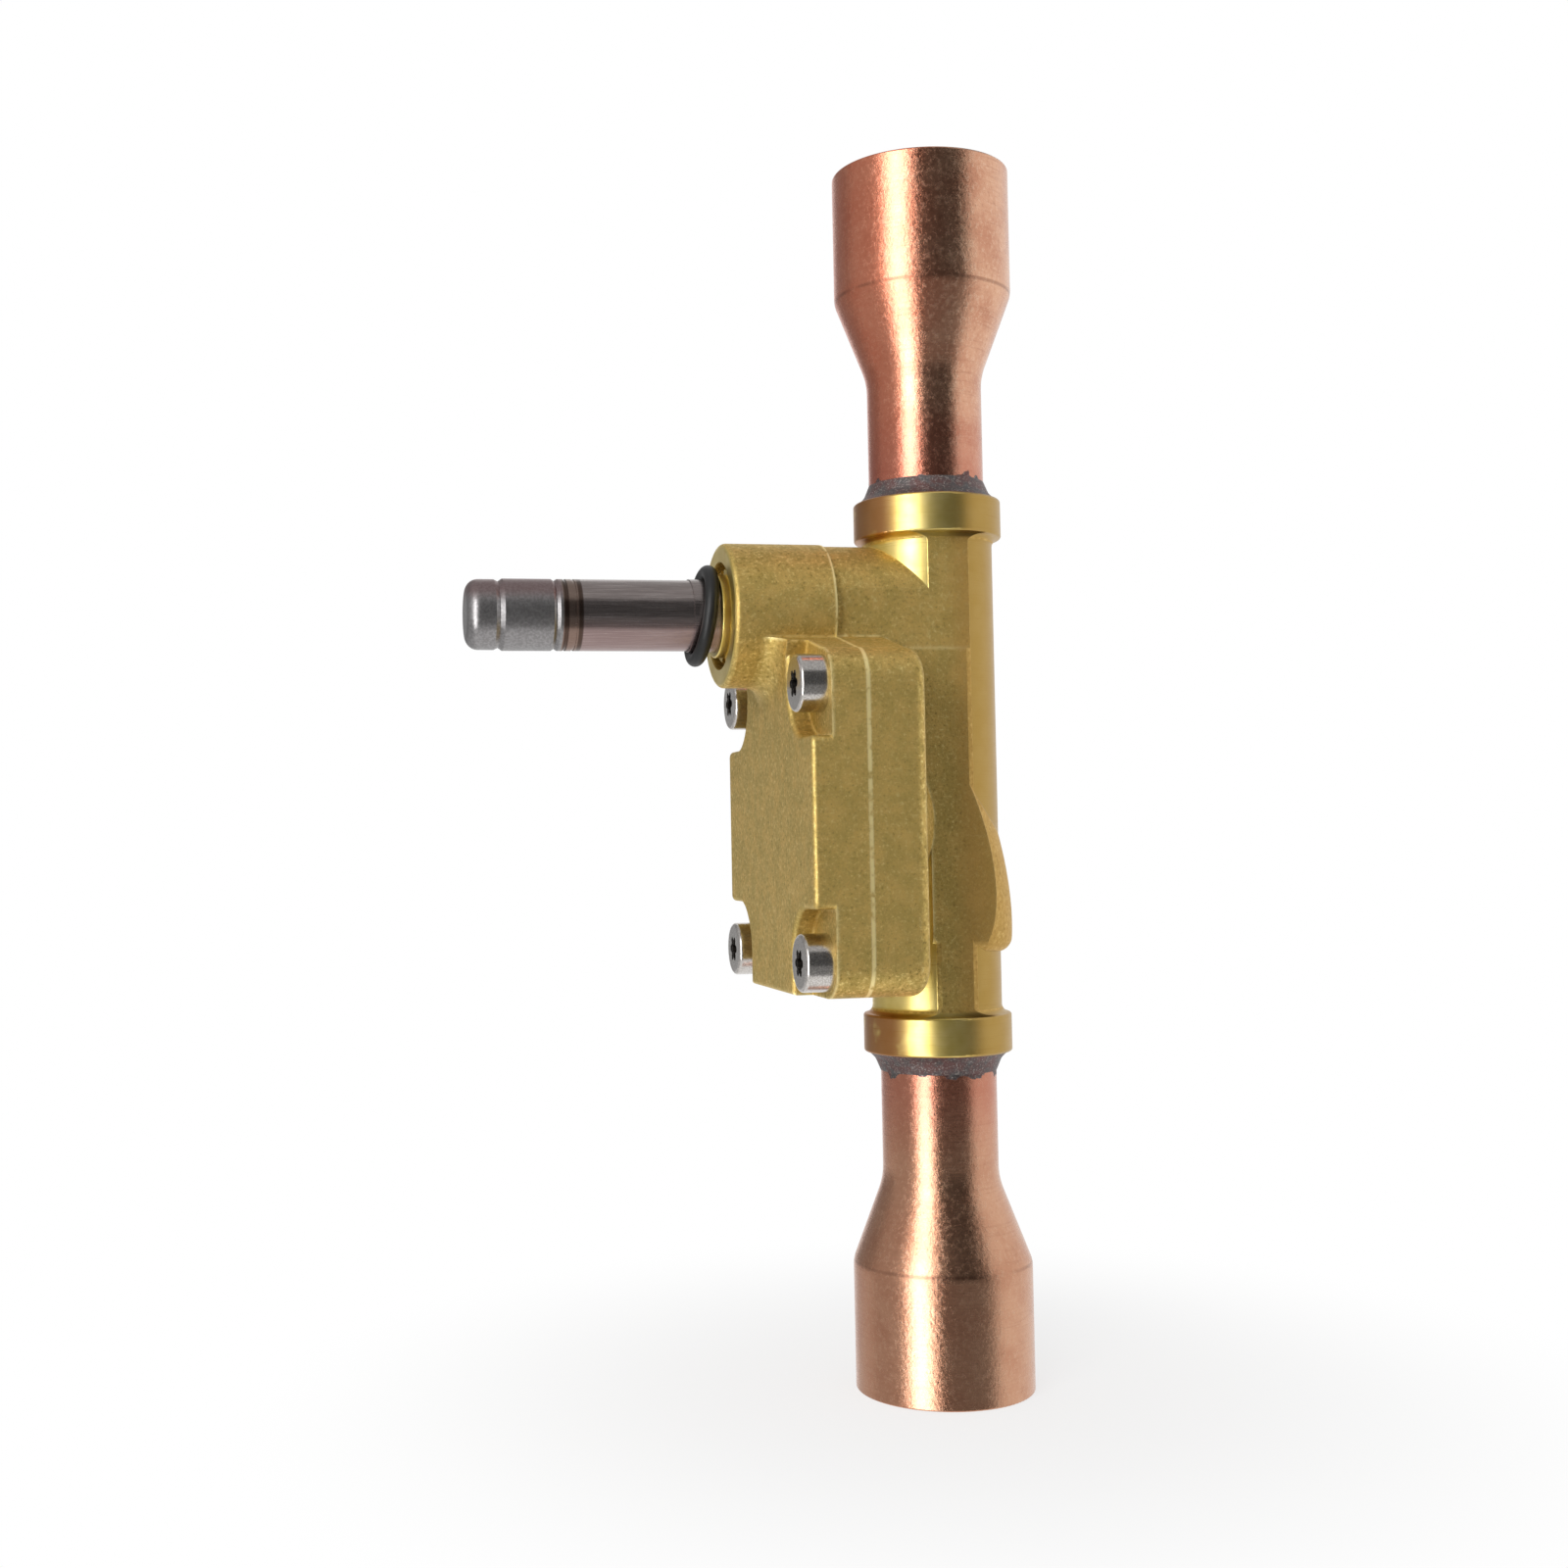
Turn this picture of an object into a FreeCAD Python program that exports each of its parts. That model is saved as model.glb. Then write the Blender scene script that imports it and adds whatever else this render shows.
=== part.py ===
import FreeCAD, Part
import math
import os

from FreeCAD import Vector

# Servo-operated refrigeration solenoid valve, in millimetres.
# The flow line runs up +Z with its lower socket mouth centred on the origin.
# The armature tube points along -X, and "reach" is a distance from the flow line towards it.
# "Side" is a distance from the middle plane towards -Y.

# Flow line and copper connectors
LENGTH = 236.0
SOCKET_BORE_R = 15.95
SOCKET_DEPTH = 24.5
CONE_LENGTH = 15.8
NECK_R = 11.1
CONNECTOR_WALL = 1.2
CONNECTOR_SEAT_DEPTH = 8.0
BRAZE_GAP = 0.05
BRAZE_HEIGHT = 3.6
BRAZE_SPREAD = 2.3
BRAZE_WAIST = 1.0
BRAZE_WAIST_RISE = 1.3
CONE_TOP_ROUND = 4.0
CONE_FOOT_ROUND = 12.0
MOUTH_ROUND = 0.35

# Brass body
BODY_LENGTH = 106.6
COLLAR_R = 14.25
COLLAR_LENGTH = 7.3
COLLAR_EDGE = 0.5
COLLAR_FILLET = 3.2
BODY_TUBE_R = 12.45
BODY_FLAT_HALF = 12.05
PILOT_FLAT_HALF = 11.8
BODY_BORE_R = 9.9
ARCH_R = 12.1
ARCH_RISE = 1.4

# Flange, cover and screws
SEAT_DROP = 9.0
PILOT_RISE = 31.0
JOINT_REACH = 22.6
FLANGE_SIDE = 63.0
FLANGE_THICKNESS = 11.1
FLANGE_BACK_ROUND = 2.5
SHOULDER_RISE = 3.4
EAR_THICKNESS = 6.7
PLATEAU_THICKNESS = 10.6
CAST_EDGE = 0.9
PLATEAU_CORNER = 1.3
POCKET_R = 9.6
SCREW_SPACING = 50.0
SCREW_R = 3.0
SCREW_LENGTH = 14.5
SCREW_HEAD_R = 5.25
SCREW_HEAD_HEIGHT = 5.2
SCREW_HEAD_EDGE = 0.7
SCREW_CLEARANCE = 0.2
THREAD_CLEARANCE = 0.03
THREAD_SPARE = 0.6
DRIVE_R = 2.6
DRIVE_LOBE_R = 0.75
DRIVE_DEPTH = 2.4
DRIVE_LOBES = 6

# Seat chamber in the body
SEAT_BORE_R = 10.0
SEAT_RIM_R = 12.5
SEAT_LIP_REACH = 16.0
CHAMBER_R = 21.0
CHAMBER_FLOOR_REACH = 13.0
BOWL_RIM_R = 26.0
BOWL_FOOT_REACH = 4.0
WEB_TOP_RISE = 8.0
TRANSFER_R = 6.0
TRANSFER_END_REACH = 14.5
TRANSFER_END_RISE = 11.0
TRANSFER_START_RISE = 24.5

# Belly behind the seat
BELLY_LONG = 38.5
BELLY_SHORT = 15.9
BELLY_REACH = 4.7
BELLY_DROP = 10.4
BELLY_TILT = 18.9
BELLY_BOTTOM_DROP = 34.3
BELLY_BOTTOM_ROUND = 3.0
BELLY_WALL = 2.8

# Pilot boss on the cover
BOSS_R = 13.8
BOSS_REACH = 42.1
BOSS_EDGE = 1.0
BOSS_FOOT_ROUND = 4.0
RECESS_R = 10.3
RECESS_DEPTH = 2.6
NUT_R = 9.0
NUT_SHOULDER_DEPTH = 0.8
NUT_NECK_R = 8.0
NUT_NECK_HEIGHT = 1.9
NUT_CLEARANCE = 0.05
NUT_EDGE = 0.35
NOTCH_WIDTH = 2.6
NOTCH_DEPTH = 1.9
TUBE_FLANGE_R = 8.6
TUBE_FLANGE_HEADROOM = 2.7
TUBE_FLANGE_THICKNESS = 1.6
TUBE_SEAL_THICKNESS = 1.4
TUBE_SEAL_WIDTH = 1.8
PILOT_CHAMBER_R = 6.2
PILOT_FLOOR_REACH = 28.4

# Pilot orifice and the drillings that serve it
ORIFICE_SHANK_R = 3.0
ORIFICE_SHANK_LENGTH = 3.8
ORIFICE_HEAD_R = 4.8
ORIFICE_HEAD_THICKNESS = 1.1
ORIFICE_NOSE_R = 1.8
ORIFICE_NOSE_FOOT_R = 2.8
ORIFICE_NOSE_HEIGHT = 1.0
ORIFICE_HOLE_R = 0.9
GASKET_THICKNESS = 0.5
OUTLET_DRILL_R = 2.0
FEED_DRILL_R = 1.25
FEED_START_INSET = 1.5
FEED_END_INSET = 2.5
FEED_END_DEPTH = 4.2
CHANNEL_SEAL_R = 5.0
CHANNEL_SEAL_WIDTH = 1.6
CHANNEL_SEAL_THICKNESS = 1.2

# Armature tube, fixed core and armature
COIL_TUBE_R = 6.75
COIL_TUBE_WALL = 0.8
TUBE_ROOT_R = 6.95
TUBE_ROOT_SPARE = 0.13
TUBE_END_REACH = 73.0
WELD_BAND_LENGTH = 2.6
WELD_GROOVE_DEPTH = 0.2
WELD_GROOVE_WIDTH = 0.5
CORE_TIP_REACH = 90.7
CORE_TIP_ROUND = 2.4
CORE_TIP_STEP = 0.15
LATCH_GROOVE_REACH = 84.6
LATCH_GROOVE_DEPTH = 0.55
LATCH_GROOVE_HALF = 0.8
FOOT_GROOVE_REACH = 74.1
FOOT_GROOVE_DEPTH = 0.4
FOOT_GROOVE_HALF = 0.6
CORE_FACE_REACH = 63.0
SHADING_RING_R = 4.9
SHADING_RING_WIDTH = 1.0
SHADING_RING_DEPTH = 1.6
ARMATURE_CLEARANCE = 0.08
ARMATURE_LIFT = 2.5
LIFT_MARGIN = 0.1
ARMATURE_GROOVE_WIDTH = 2.0
ARMATURE_GROOVE_DEPTH = 0.9
ARMATURE_EDGE = 0.5
PLATE_R = 2.6
PLATE_THICKNESS = 2.0
PLATE_PROUD = 0.4
SPRING_POCKET_R = 3.2
SPRING_POCKET_DEPTH = 12.0
ARMATURE_SPRING_R = 2.4
ARMATURE_SPRING_WIRE_R = 0.3
ARMATURE_SPRING_TURNS = 9
SPRING_END_GAP = 0.05

# Rubber ring that seals the coil, resting askew on the armature tube
COIL_RING_CORD_R = 1.35
COIL_RING_CLEARANCE = 0.12
COIL_RING_REACH = 45.6
COIL_RING_TILT = 8.0

# Diaphragm servo
DISC_R = 12.2
DISC_THICKNESS = 2.4
HOLDER_R = 14.0
HOLDER_THICKNESS = 2.0
HOLDER_LIP = 1.1
DIAPHRAGM_THICKNESS = 1.4
DIAPHRAGM_CENTRE_R = 14.6
DIAPHRAGM_RIM_R = 26.0
DIAPHRAGM_BEND = 1.2
RIM_CLEARANCE = 0.1
WASHER_R = 13.0
WASHER_THICKNESS = 1.2
STEM_R = 2.5
STEM_HEAD_R = 5.5
STEM_HEAD_THICKNESS = 2.1
STEM_SPARE = 0.2
STEM_CLEARANCE = 0.05
BLEED_R = 0.5
NUT_CORNERS = 6
NUT_WIDTH = 8.0
NUT_THICKNESS = 2.0
SERVO_ROOF_REACH = 29.8
SERVO_CHAMBER_R = 20.5
ROOF_ROUND = 1.5
CLOSING_SPRING_FOOT_R = 6.2
CLOSING_SPRING_WIRE_R = 0.45
CLOSING_SPRING_TURNS = 3
CLOSING_SPRING_TOP_R = 9.2
SPRING_RUNS_PER_TURN = 12
SPRING_WIRE_SIDES = 8

# How far a cutting tool runs past the face it opens
CUT_SPARE = 1.0

MIDDLE = LENGTH / 2
SEAT_Z = MIDDLE - SEAT_DROP
PILOT_Z = MIDDLE + PILOT_RISE
BODY_HALF = BODY_LENGTH / 2
SOCKET_R = SOCKET_BORE_R + CONNECTOR_WALL
NECK_BORE_R = NECK_R - CONNECTOR_WALL
CONNECTOR_FOOT = BODY_HALF - CONNECTOR_SEAT_DEPTH
FLANGE_BACK_REACH = JOINT_REACH - FLANGE_THICKNESS
EAR_REACH = JOINT_REACH + EAR_THICKNESS
PLATEAU_REACH = JOINT_REACH + PLATEAU_THICKNESS
CORNER_R = (FLANGE_SIDE - SCREW_SPACING) / 2
PILOT_FLAT_DROP = math.sqrt(BOSS_R**2 - PILOT_FLAT_HALF**2)
PILOT_SEAT_REACH = PILOT_FLOOR_REACH + GASKET_THICKNESS + ORIFICE_HEAD_THICKNESS + ORIFICE_NOSE_HEIGHT
TUBE_FLANGE_REACH = PILOT_SEAT_REACH + TUBE_FLANGE_HEADROOM
COIL_TUBE_BORE_R = COIL_TUBE_R - COIL_TUBE_WALL
NUT_FOOT_REACH = TUBE_FLANGE_REACH + TUBE_FLANGE_THICKNESS
NUT_SHOULDER_REACH = BOSS_REACH - NUT_SHOULDER_DEPTH
ARMATURE_R = COIL_TUBE_BORE_R - ARMATURE_CLEARANCE
ARMATURE_FOOT_REACH = PILOT_SEAT_REACH + PLATE_PROUD
ARMATURE_TOP_REACH = CORE_FACE_REACH - ARMATURE_LIFT - LIFT_MARGIN
COIL_RING_R = TUBE_ROOT_R + COIL_RING_CLEARANCE + COIL_RING_CORD_R
COIL_RING_LEAN = COIL_RING_R * math.sin(math.radians(COIL_RING_TILT))
TUBE_ROOT_END_REACH = COIL_RING_REACH + COIL_RING_LEAN + COIL_RING_CORD_R + TUBE_ROOT_SPARE
HOLDER_REACH = SEAT_LIP_REACH + DISC_THICKNESS
DIAPHRAGM_REACH = HOLDER_REACH + HOLDER_THICKNESS
WASHER_REACH = DIAPHRAGM_REACH + DIAPHRAGM_THICKNESS
CLAMP_NUT_REACH = WASHER_REACH + WASHER_THICKNESS
STEM_TOP_REACH = CLAMP_NUT_REACH + NUT_THICKNESS + STEM_SPARE
FULL_TURN = 360.0
FINE = 1e-3


def spot(reach, side, height):
    """A point from its distances towards the armature tube, towards the near side and up."""
    return Vector(-reach, -side, height)


def bar(radius, reach_from, reach_to, height, side=0.0):
    """A round bar along the armature direction."""
    start = spot(reach_to, side, height)
    return Part.makeCylinder(radius, reach_to - reach_from, start, Vector(1, 0, 0))


def post(radius, low, high):
    """A round bar along the flow line."""
    return Part.makeCylinder(radius, high - low, Vector(0, 0, low))


def block(reach_from, reach_to, side_from, side_to, low, high):
    """A box between two reaches, two sides and two heights."""
    corner = spot(reach_to, side_to, low)
    return Part.makeBox(reach_to - reach_from, side_to - side_from, high - low, corner)


def outline(corners):
    """Closed wire in the X-Z plane through (x, z, rounding) corners."""
    runs = []
    for index, (x, z, rounding) in enumerate(corners):
        point = Vector(x, 0, z)
        if rounding == 0:
            runs.append((point, None, point))
            continue
        before = Vector(corners[index - 1][0], 0, corners[index - 1][1])
        after_x, after_z, _ = corners[(index + 1) % len(corners)]
        back = (before - point).normalize()
        ahead = (Vector(after_x, 0, after_z) - point).normalize()
        half = back.getAngle(ahead) / 2
        setback = rounding / math.tan(half)
        inward = (back + ahead).normalize()
        crown = point + inward * (rounding / math.sin(half) - rounding)
        runs.append((point + back * setback, crown, point + ahead * setback))
    edges = []
    for index, (entry, crown, leave) in enumerate(runs):
        if crown is not None:
            edges.append(Part.Arc(entry, crown, leave).toShape())
        following = runs[(index + 1) % len(runs)][0]
        if leave.distanceToPoint(following) > FINE:
            edges.append(Part.LineSegment(leave, following).toShape())
    return Part.Wire(edges)


def turned_along_flow(corners):
    """Solid of revolution about the flow line from (radius, height, rounding) corners."""
    return Part.Face(outline(corners)).revolve(Vector(0, 0, 0), Vector(0, 0, 1), FULL_TURN)


def turned_along_reach(corners, height):
    """Solid of revolution about an armature-direction axis from (reach, radius, rounding) corners."""
    face = Part.Face(outline([(-reach, radius + height, rounding) for reach, radius, rounding in corners]))
    return face.revolve(Vector(0, 0, height), Vector(1, 0, 0), FULL_TURN)


def ring(reach_from, reach_to, inner, outer, height):
    """A plain ring around an armature-direction axis."""
    corners = [(reach_from, inner, 0), (reach_to, inner, 0), (reach_to, outer, 0), (reach_from, outer, 0)]
    return turned_along_reach(corners, height)


def rounded_square(reach_from, reach_to):
    """The square flange outline, its corners centred on the screws."""
    half = FLANGE_SIDE / 2
    slab = block(reach_from, reach_to, -half, half, SEAT_Z - half, SEAT_Z + half)
    corners = [edge for edge in slab.Edges if edge.BoundBox.XLength > (reach_to - reach_from) / 2]
    return slab.makeFillet(CORNER_R, corners)


def screw_places():
    """Side and height of each cover screw."""
    half = SCREW_SPACING / 2
    return [(side, SEAT_Z + rise) for side in (-half, half) for rise in (-half, half)]


def edges_where(shape, test):
    return [edge for edge in shape.Edges if test(edge)]


def along_reach(edge):
    """True for a straight edge along the armature direction."""
    box = edge.BoundBox
    return box.XLength > FINE and box.YLength < FINE and box.ZLength < FINE


def plateau_corner(edge):
    """True for the edge where the wall of a screw pocket meets the side of the flange."""
    box = edge.BoundBox
    on_side = abs(abs(box.YMin) - FLANGE_SIDE / 2) < FINE
    return along_reach(edge) and on_side and abs(box.XMax + EAR_REACH) < FINE


def at_reach(edge, reach):
    """True for an edge that lies whole in the plane at one reach."""
    box = edge.BoundBox
    return abs(box.XMin + reach) < FINE and abs(box.XMax + reach) < FINE


def belly_form(inset):
    """Egg-shaped swelling behind the seat, leaning towards the cover."""
    ellipse = Part.Ellipse(Vector(0, 0, 0), BELLY_LONG - inset, BELLY_SHORT - inset)
    half = Part.Arc(ellipse, 0, math.pi).toShape()
    axis = Part.LineSegment(half.Vertexes[-1].Point, half.Vertexes[0].Point).toShape()
    egg = Part.Face(Part.Wire([half, axis])).revolve(Vector(0, 0, 0), Vector(1, 0, 0), FULL_TURN)
    egg.rotate(Vector(0, 0, 0), Vector(0, 1, 0), 90 - BELLY_TILT)
    egg.translate(spot(BELLY_REACH, 0, MIDDLE - BELLY_DROP))
    side = BODY_FLAT_HALF - inset
    bottom = MIDDLE - BELLY_BOTTOM_DROP + inset
    window = block(-BELLY_LONG, BELLY_REACH, -side, side, bottom, MIDDLE)
    form = egg.common(window)
    rim = edges_where(form, lambda edge: edge.BoundBox.ZMax < bottom + FINE and edge.BoundBox.XMax > 0)
    return form.makeFillet(BELLY_BOTTOM_ROUND, rim)


def body_spindle():
    """Turned tube of the body with its two collars, and the flats on both sides."""
    inner = BODY_HALF - COLLAR_LENGTH
    corners = [(0, MIDDLE - BODY_HALF, 0)]
    corners += [(COLLAR_R, MIDDLE - BODY_HALF, COLLAR_EDGE), (COLLAR_R, MIDDLE - inner, COLLAR_EDGE)]
    corners += [(BODY_TUBE_R, MIDDLE - inner + COLLAR_EDGE, COLLAR_FILLET / 2)]
    corners += [(BODY_TUBE_R, MIDDLE + inner - COLLAR_EDGE, COLLAR_FILLET / 2)]
    corners += [(COLLAR_R, MIDDLE + inner, COLLAR_EDGE), (COLLAR_R, MIDDLE + BODY_HALF, COLLAR_EDGE)]
    corners += [(0, MIDDLE + BODY_HALF, 0)]
    spindle = turned_along_flow(corners)
    reach = COLLAR_R + CUT_SPARE
    for half, low in ((BODY_FLAT_HALF, MIDDLE - inner), (PILOT_FLAT_HALF, PILOT_Z - PILOT_FLAT_DROP)):
        for side_from, side_to in ((half, reach), (-reach, -half)):
            spindle = spindle.cut(block(-reach, reach, side_from, side_to, low, MIDDLE + inner))
    return spindle


def pilot_block():
    """Flat-sided and arched part of the body that carries the pilot boss of the cover."""
    half = PILOT_FLAT_HALF
    arch_z = PILOT_Z + ARCH_RISE
    arch = bar(ARCH_R, 0, JOINT_REACH, arch_z)
    arch = arch.fuse(block(0, JOINT_REACH, -half, half, PILOT_Z - BOSS_R, arch_z))
    slab = block(0, JOINT_REACH, -half, half, PILOT_Z - BOSS_R, arch_z + ARCH_R)
    return arch.common(slab).removeSplitter()


def shoulder(reach_from, reach_to):
    """Sloping top of the square flange, which rises to the pilot boss."""
    top = SEAT_Z + FLANGE_SIDE / 2
    half = SCREW_SPACING / 2
    corners = [(-half, top - SHOULDER_RISE), (-half, top), (-PILOT_FLAT_HALF, top + SHOULDER_RISE)]
    corners += [(-side, height) for side, height in reversed(corners)]
    points = [spot(reach_from, side, height) for side, height in corners + corners[:1]]
    return Part.Face(Part.makePolygon(points)).extrude(spot(reach_to - reach_from, 0, 0))


def flange_form(reach_from, reach_to):
    """Square outline with the sloping top, between two reaches."""
    return rounded_square(reach_from, reach_to).fuse(shoulder(reach_from, reach_to)).removeSplitter()


def transfer_passage():
    """Slanted passage from the upper bore to the ring chamber around the seat."""
    start = spot(0, 0, MIDDLE + TRANSFER_START_RISE)
    end = spot(TRANSFER_END_REACH, 0, MIDDLE + TRANSFER_END_RISE)
    run = end - start
    drill = Part.makeCylinder(TRANSFER_R, run.Length, start, run)
    return drill.fuse(Part.makeSphere(TRANSFER_R, end))


def valve_body():
    """One brass forging: spindle, flange, seat bowl, belly and pilot block, then its bores."""
    flange = flange_form(FLANGE_BACK_REACH, JOINT_REACH)
    back_edges = edges_where(flange, lambda edge: at_reach(edge, FLANGE_BACK_REACH))
    flange = flange.makeFillet(FLANGE_BACK_ROUND, back_edges)
    inner_back = FLANGE_BACK_REACH + FLANGE_BACK_ROUND
    bowl_corners = [(0, 0, 0), (0, BODY_FLAT_HALF, 0), (BOWL_FOOT_REACH, BODY_FLAT_HALF, 0)]
    bowl_corners += [(inner_back, BOWL_RIM_R, 0), (inner_back, 0, 0)]
    bowl = turned_along_reach(bowl_corners, SEAT_Z)
    neck_top = PILOT_Z - PILOT_FLAT_DROP
    neck = block(0, inner_back, -BODY_FLAT_HALF, BODY_FLAT_HALF, SEAT_Z, neck_top)
    solid = body_spindle()
    for addition in (belly_form(0), bowl, neck, pilot_block(), flange):
        solid = solid.fuse(addition)
    solid = solid.removeSplitter()

    web_top = MIDDLE + WEB_TOP_RISE
    cuts = [post(BODY_BORE_R, web_top, LENGTH), transfer_passage()]
    cuts.append(post(BODY_BORE_R, 0, SEAT_Z))
    cuts.append(Part.makeSphere(BODY_BORE_R, Vector(0, 0, SEAT_Z)))
    cuts.append(bar(SEAT_BORE_R, 0, JOINT_REACH, SEAT_Z))
    cuts.append(belly_form(BELLY_WALL).cut(block(0, JOINT_REACH, -COLLAR_R, COLLAR_R, 0, LENGTH)))
    beyond_joint = JOINT_REACH + CUT_SPARE
    cuts.append(ring(CHAMBER_FLOOR_REACH, beyond_joint, SEAT_RIM_R, CHAMBER_R, SEAT_Z))
    cuts.append(bar(SEAT_RIM_R + CUT_SPARE, SEAT_LIP_REACH, beyond_joint, SEAT_Z))
    for low, high in ((0, MIDDLE - CONNECTOR_FOOT), (MIDDLE + CONNECTOR_FOOT, LENGTH)):
        cuts.append(post(NECK_R + BRAZE_GAP, low, high))
    cuts.append(bar(OUTLET_DRILL_R, 0, beyond_joint, PILOT_Z))
    seal_inner = CHANNEL_SEAL_R - CHANNEL_SEAL_WIDTH / 2
    seal_outer = CHANNEL_SEAL_R + CHANNEL_SEAL_WIDTH / 2
    seal_floor = JOINT_REACH - CHANNEL_SEAL_THICKNESS
    cuts.append(ring(seal_floor, beyond_joint, seal_inner, seal_outer, PILOT_Z))
    thread_end = EAR_REACH - SCREW_LENGTH - THREAD_SPARE
    for side, height in screw_places():
        cuts.append(bar(SCREW_R + THREAD_CLEARANCE, thread_end, beyond_joint, height, side))
    for tool in cuts:
        solid = solid.cut(tool)
    return solid


def corner_pocket(side, height):
    """Room for one screw head: a round-cornered step in the edge of the plateau."""
    half = FLANGE_SIDE / 2 + SHOULDER_RISE
    outward = 1 if side > 0 else -1
    upward = 1 if height > SEAT_Z else -1
    top = PLATEAU_REACH + CUT_SPARE
    sides = sorted((side, outward * half))
    heights = sorted((height, SEAT_Z + upward * half))
    near_sides = sorted((side - outward * POCKET_R, outward * half))
    near_heights = sorted((height - upward * POCKET_R, SEAT_Z + upward * half))
    room = bar(POCKET_R, EAR_REACH, top, height, side)
    room = room.fuse(block(EAR_REACH, top, sides[0], sides[1], near_heights[0], near_heights[1]))
    room = room.fuse(block(EAR_REACH, top, near_sides[0], near_sides[1], heights[0], heights[1]))
    return room.removeSplitter()


def boss_foot():
    """Concave foot of the pilot boss on the plateau, within the cover's outline."""
    end = PLATEAU_REACH + BOSS_FOOT_ROUND
    wide = BOSS_R + BOSS_FOOT_ROUND
    corners = [
        (EAR_REACH, BOSS_R - CUT_SPARE, 0),
        (end, BOSS_R - CUT_SPARE, 0),
        (end, BOSS_R, 0),
        (PLATEAU_REACH, BOSS_R, BOSS_FOOT_ROUND),
        (PLATEAU_REACH, wide, 0),
        (EAR_REACH, wide, 0),
    ]
    return turned_along_reach(corners, PILOT_Z).common(flange_form(EAR_REACH, end))


def cover():
    """Brass cover with the pilot boss in one piece, its screw pockets, bores and servo chamber."""
    plate = flange_form(JOINT_REACH, PLATEAU_REACH)
    for side, height in screw_places():
        plate = plate.cut(corner_pocket(side, height))
    plate = plate.removeSplitter()
    plate = plate.makeFillet(PLATEAU_CORNER, edges_where(plate, plateau_corner))
    rim = edges_where(plate, lambda edge: at_reach(edge, PLATEAU_REACH))
    plate = plate.makeFillet(CAST_EDGE, rim)
    boss = bar(BOSS_R, JOINT_REACH, BOSS_REACH, PILOT_Z)
    end_edge = edges_where(boss, lambda edge: at_reach(edge, BOSS_REACH))
    boss = boss.makeFillet(BOSS_EDGE, end_edge)
    solid = plate.fuse(boss).fuse(boss_foot()).removeSplitter()

    under_joint = JOINT_REACH - CUT_SPARE
    rim_r = DIAPHRAGM_RIM_R + RIM_CLEARANCE
    cuts = [bar(rim_r, under_joint, JOINT_REACH + DIAPHRAGM_THICKNESS, SEAT_Z)]
    servo_corners = [
        (JOINT_REACH, 0, 0),
        (SERVO_ROOF_REACH, 0, 0),
        (SERVO_ROOF_REACH, SERVO_CHAMBER_R, ROOF_ROUND),
        (JOINT_REACH, SERVO_CHAMBER_R, 0),
    ]
    cuts.append(turned_along_reach(servo_corners, SEAT_Z))
    cuts.append(bar(RECESS_R, BOSS_REACH - RECESS_DEPTH, BOSS_REACH + CUT_SPARE, PILOT_Z))
    cuts.append(bar(NUT_R + NUT_CLEARANCE, TUBE_FLANGE_REACH, BOSS_REACH, PILOT_Z))
    cuts.append(bar(PILOT_CHAMBER_R, PILOT_FLOOR_REACH, TUBE_FLANGE_REACH + CUT_SPARE, PILOT_Z))
    seal_outer = TUBE_FLANGE_R
    seal_inner = seal_outer - TUBE_SEAL_WIDTH
    seal_floor = TUBE_FLANGE_REACH - TUBE_SEAL_THICKNESS
    cuts.append(ring(seal_floor, TUBE_FLANGE_REACH + CUT_SPARE, seal_inner, seal_outer, PILOT_Z))
    shank_r = ORIFICE_SHANK_R + THREAD_CLEARANCE
    cuts.append(bar(shank_r, under_joint, PILOT_FLOOR_REACH + CUT_SPARE, PILOT_Z))
    feed_start = spot(PILOT_SEAT_REACH - CUT_SPARE, 0, PILOT_Z - PILOT_CHAMBER_R + FEED_START_INSET)
    feed_end = spot(JOINT_REACH + FEED_END_DEPTH, 0, SEAT_Z + SERVO_CHAMBER_R - FEED_END_INSET)
    feed = feed_end - feed_start
    cuts.append(Part.makeCylinder(FEED_DRILL_R, feed.Length, feed_start, feed))
    for side, height in screw_places():
        cuts.append(bar(SCREW_R + SCREW_CLEARANCE, under_joint, EAR_REACH + CUT_SPARE, height, side))
    for tool in cuts:
        solid = solid.cut(tool)
    return solid


def cover_screw(side, height):
    """Cylinder-head screw with a six-lobed drive."""
    tip = EAR_REACH - SCREW_LENGTH
    top = EAR_REACH + SCREW_HEAD_HEIGHT
    screw = turned_along_reach(
        [
            (tip, 0, 0),
            (tip, SCREW_R - SCREW_HEAD_EDGE, 0),
            (tip + SCREW_HEAD_EDGE, SCREW_R, 0),
            (EAR_REACH, SCREW_R, 0),
            (EAR_REACH, SCREW_HEAD_R, 0),
            (top, SCREW_HEAD_R, SCREW_HEAD_EDGE),
            (top, 0, 0),
        ],
        height,
    )
    drive_end = top + CUT_SPARE
    drive = bar(DRIVE_R - DRIVE_LOBE_R, top - DRIVE_DEPTH, drive_end, height)
    for lobe in range(DRIVE_LOBES):
        angle = math.radians(lobe * FULL_TURN / DRIVE_LOBES)
        lobe_side = (DRIVE_R - DRIVE_LOBE_R) * math.cos(angle)
        lobe_rise = (DRIVE_R - DRIVE_LOBE_R) * math.sin(angle)
        drive = drive.fuse(bar(DRIVE_LOBE_R, top - DRIVE_DEPTH, drive_end, height + lobe_rise, lobe_side))
    screw = screw.cut(drive)
    screw.translate(spot(0, side, 0))
    return screw


def cover_screws():
    return Part.makeCompound([cover_screw(side, height) for side, height in screw_places()])


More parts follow.
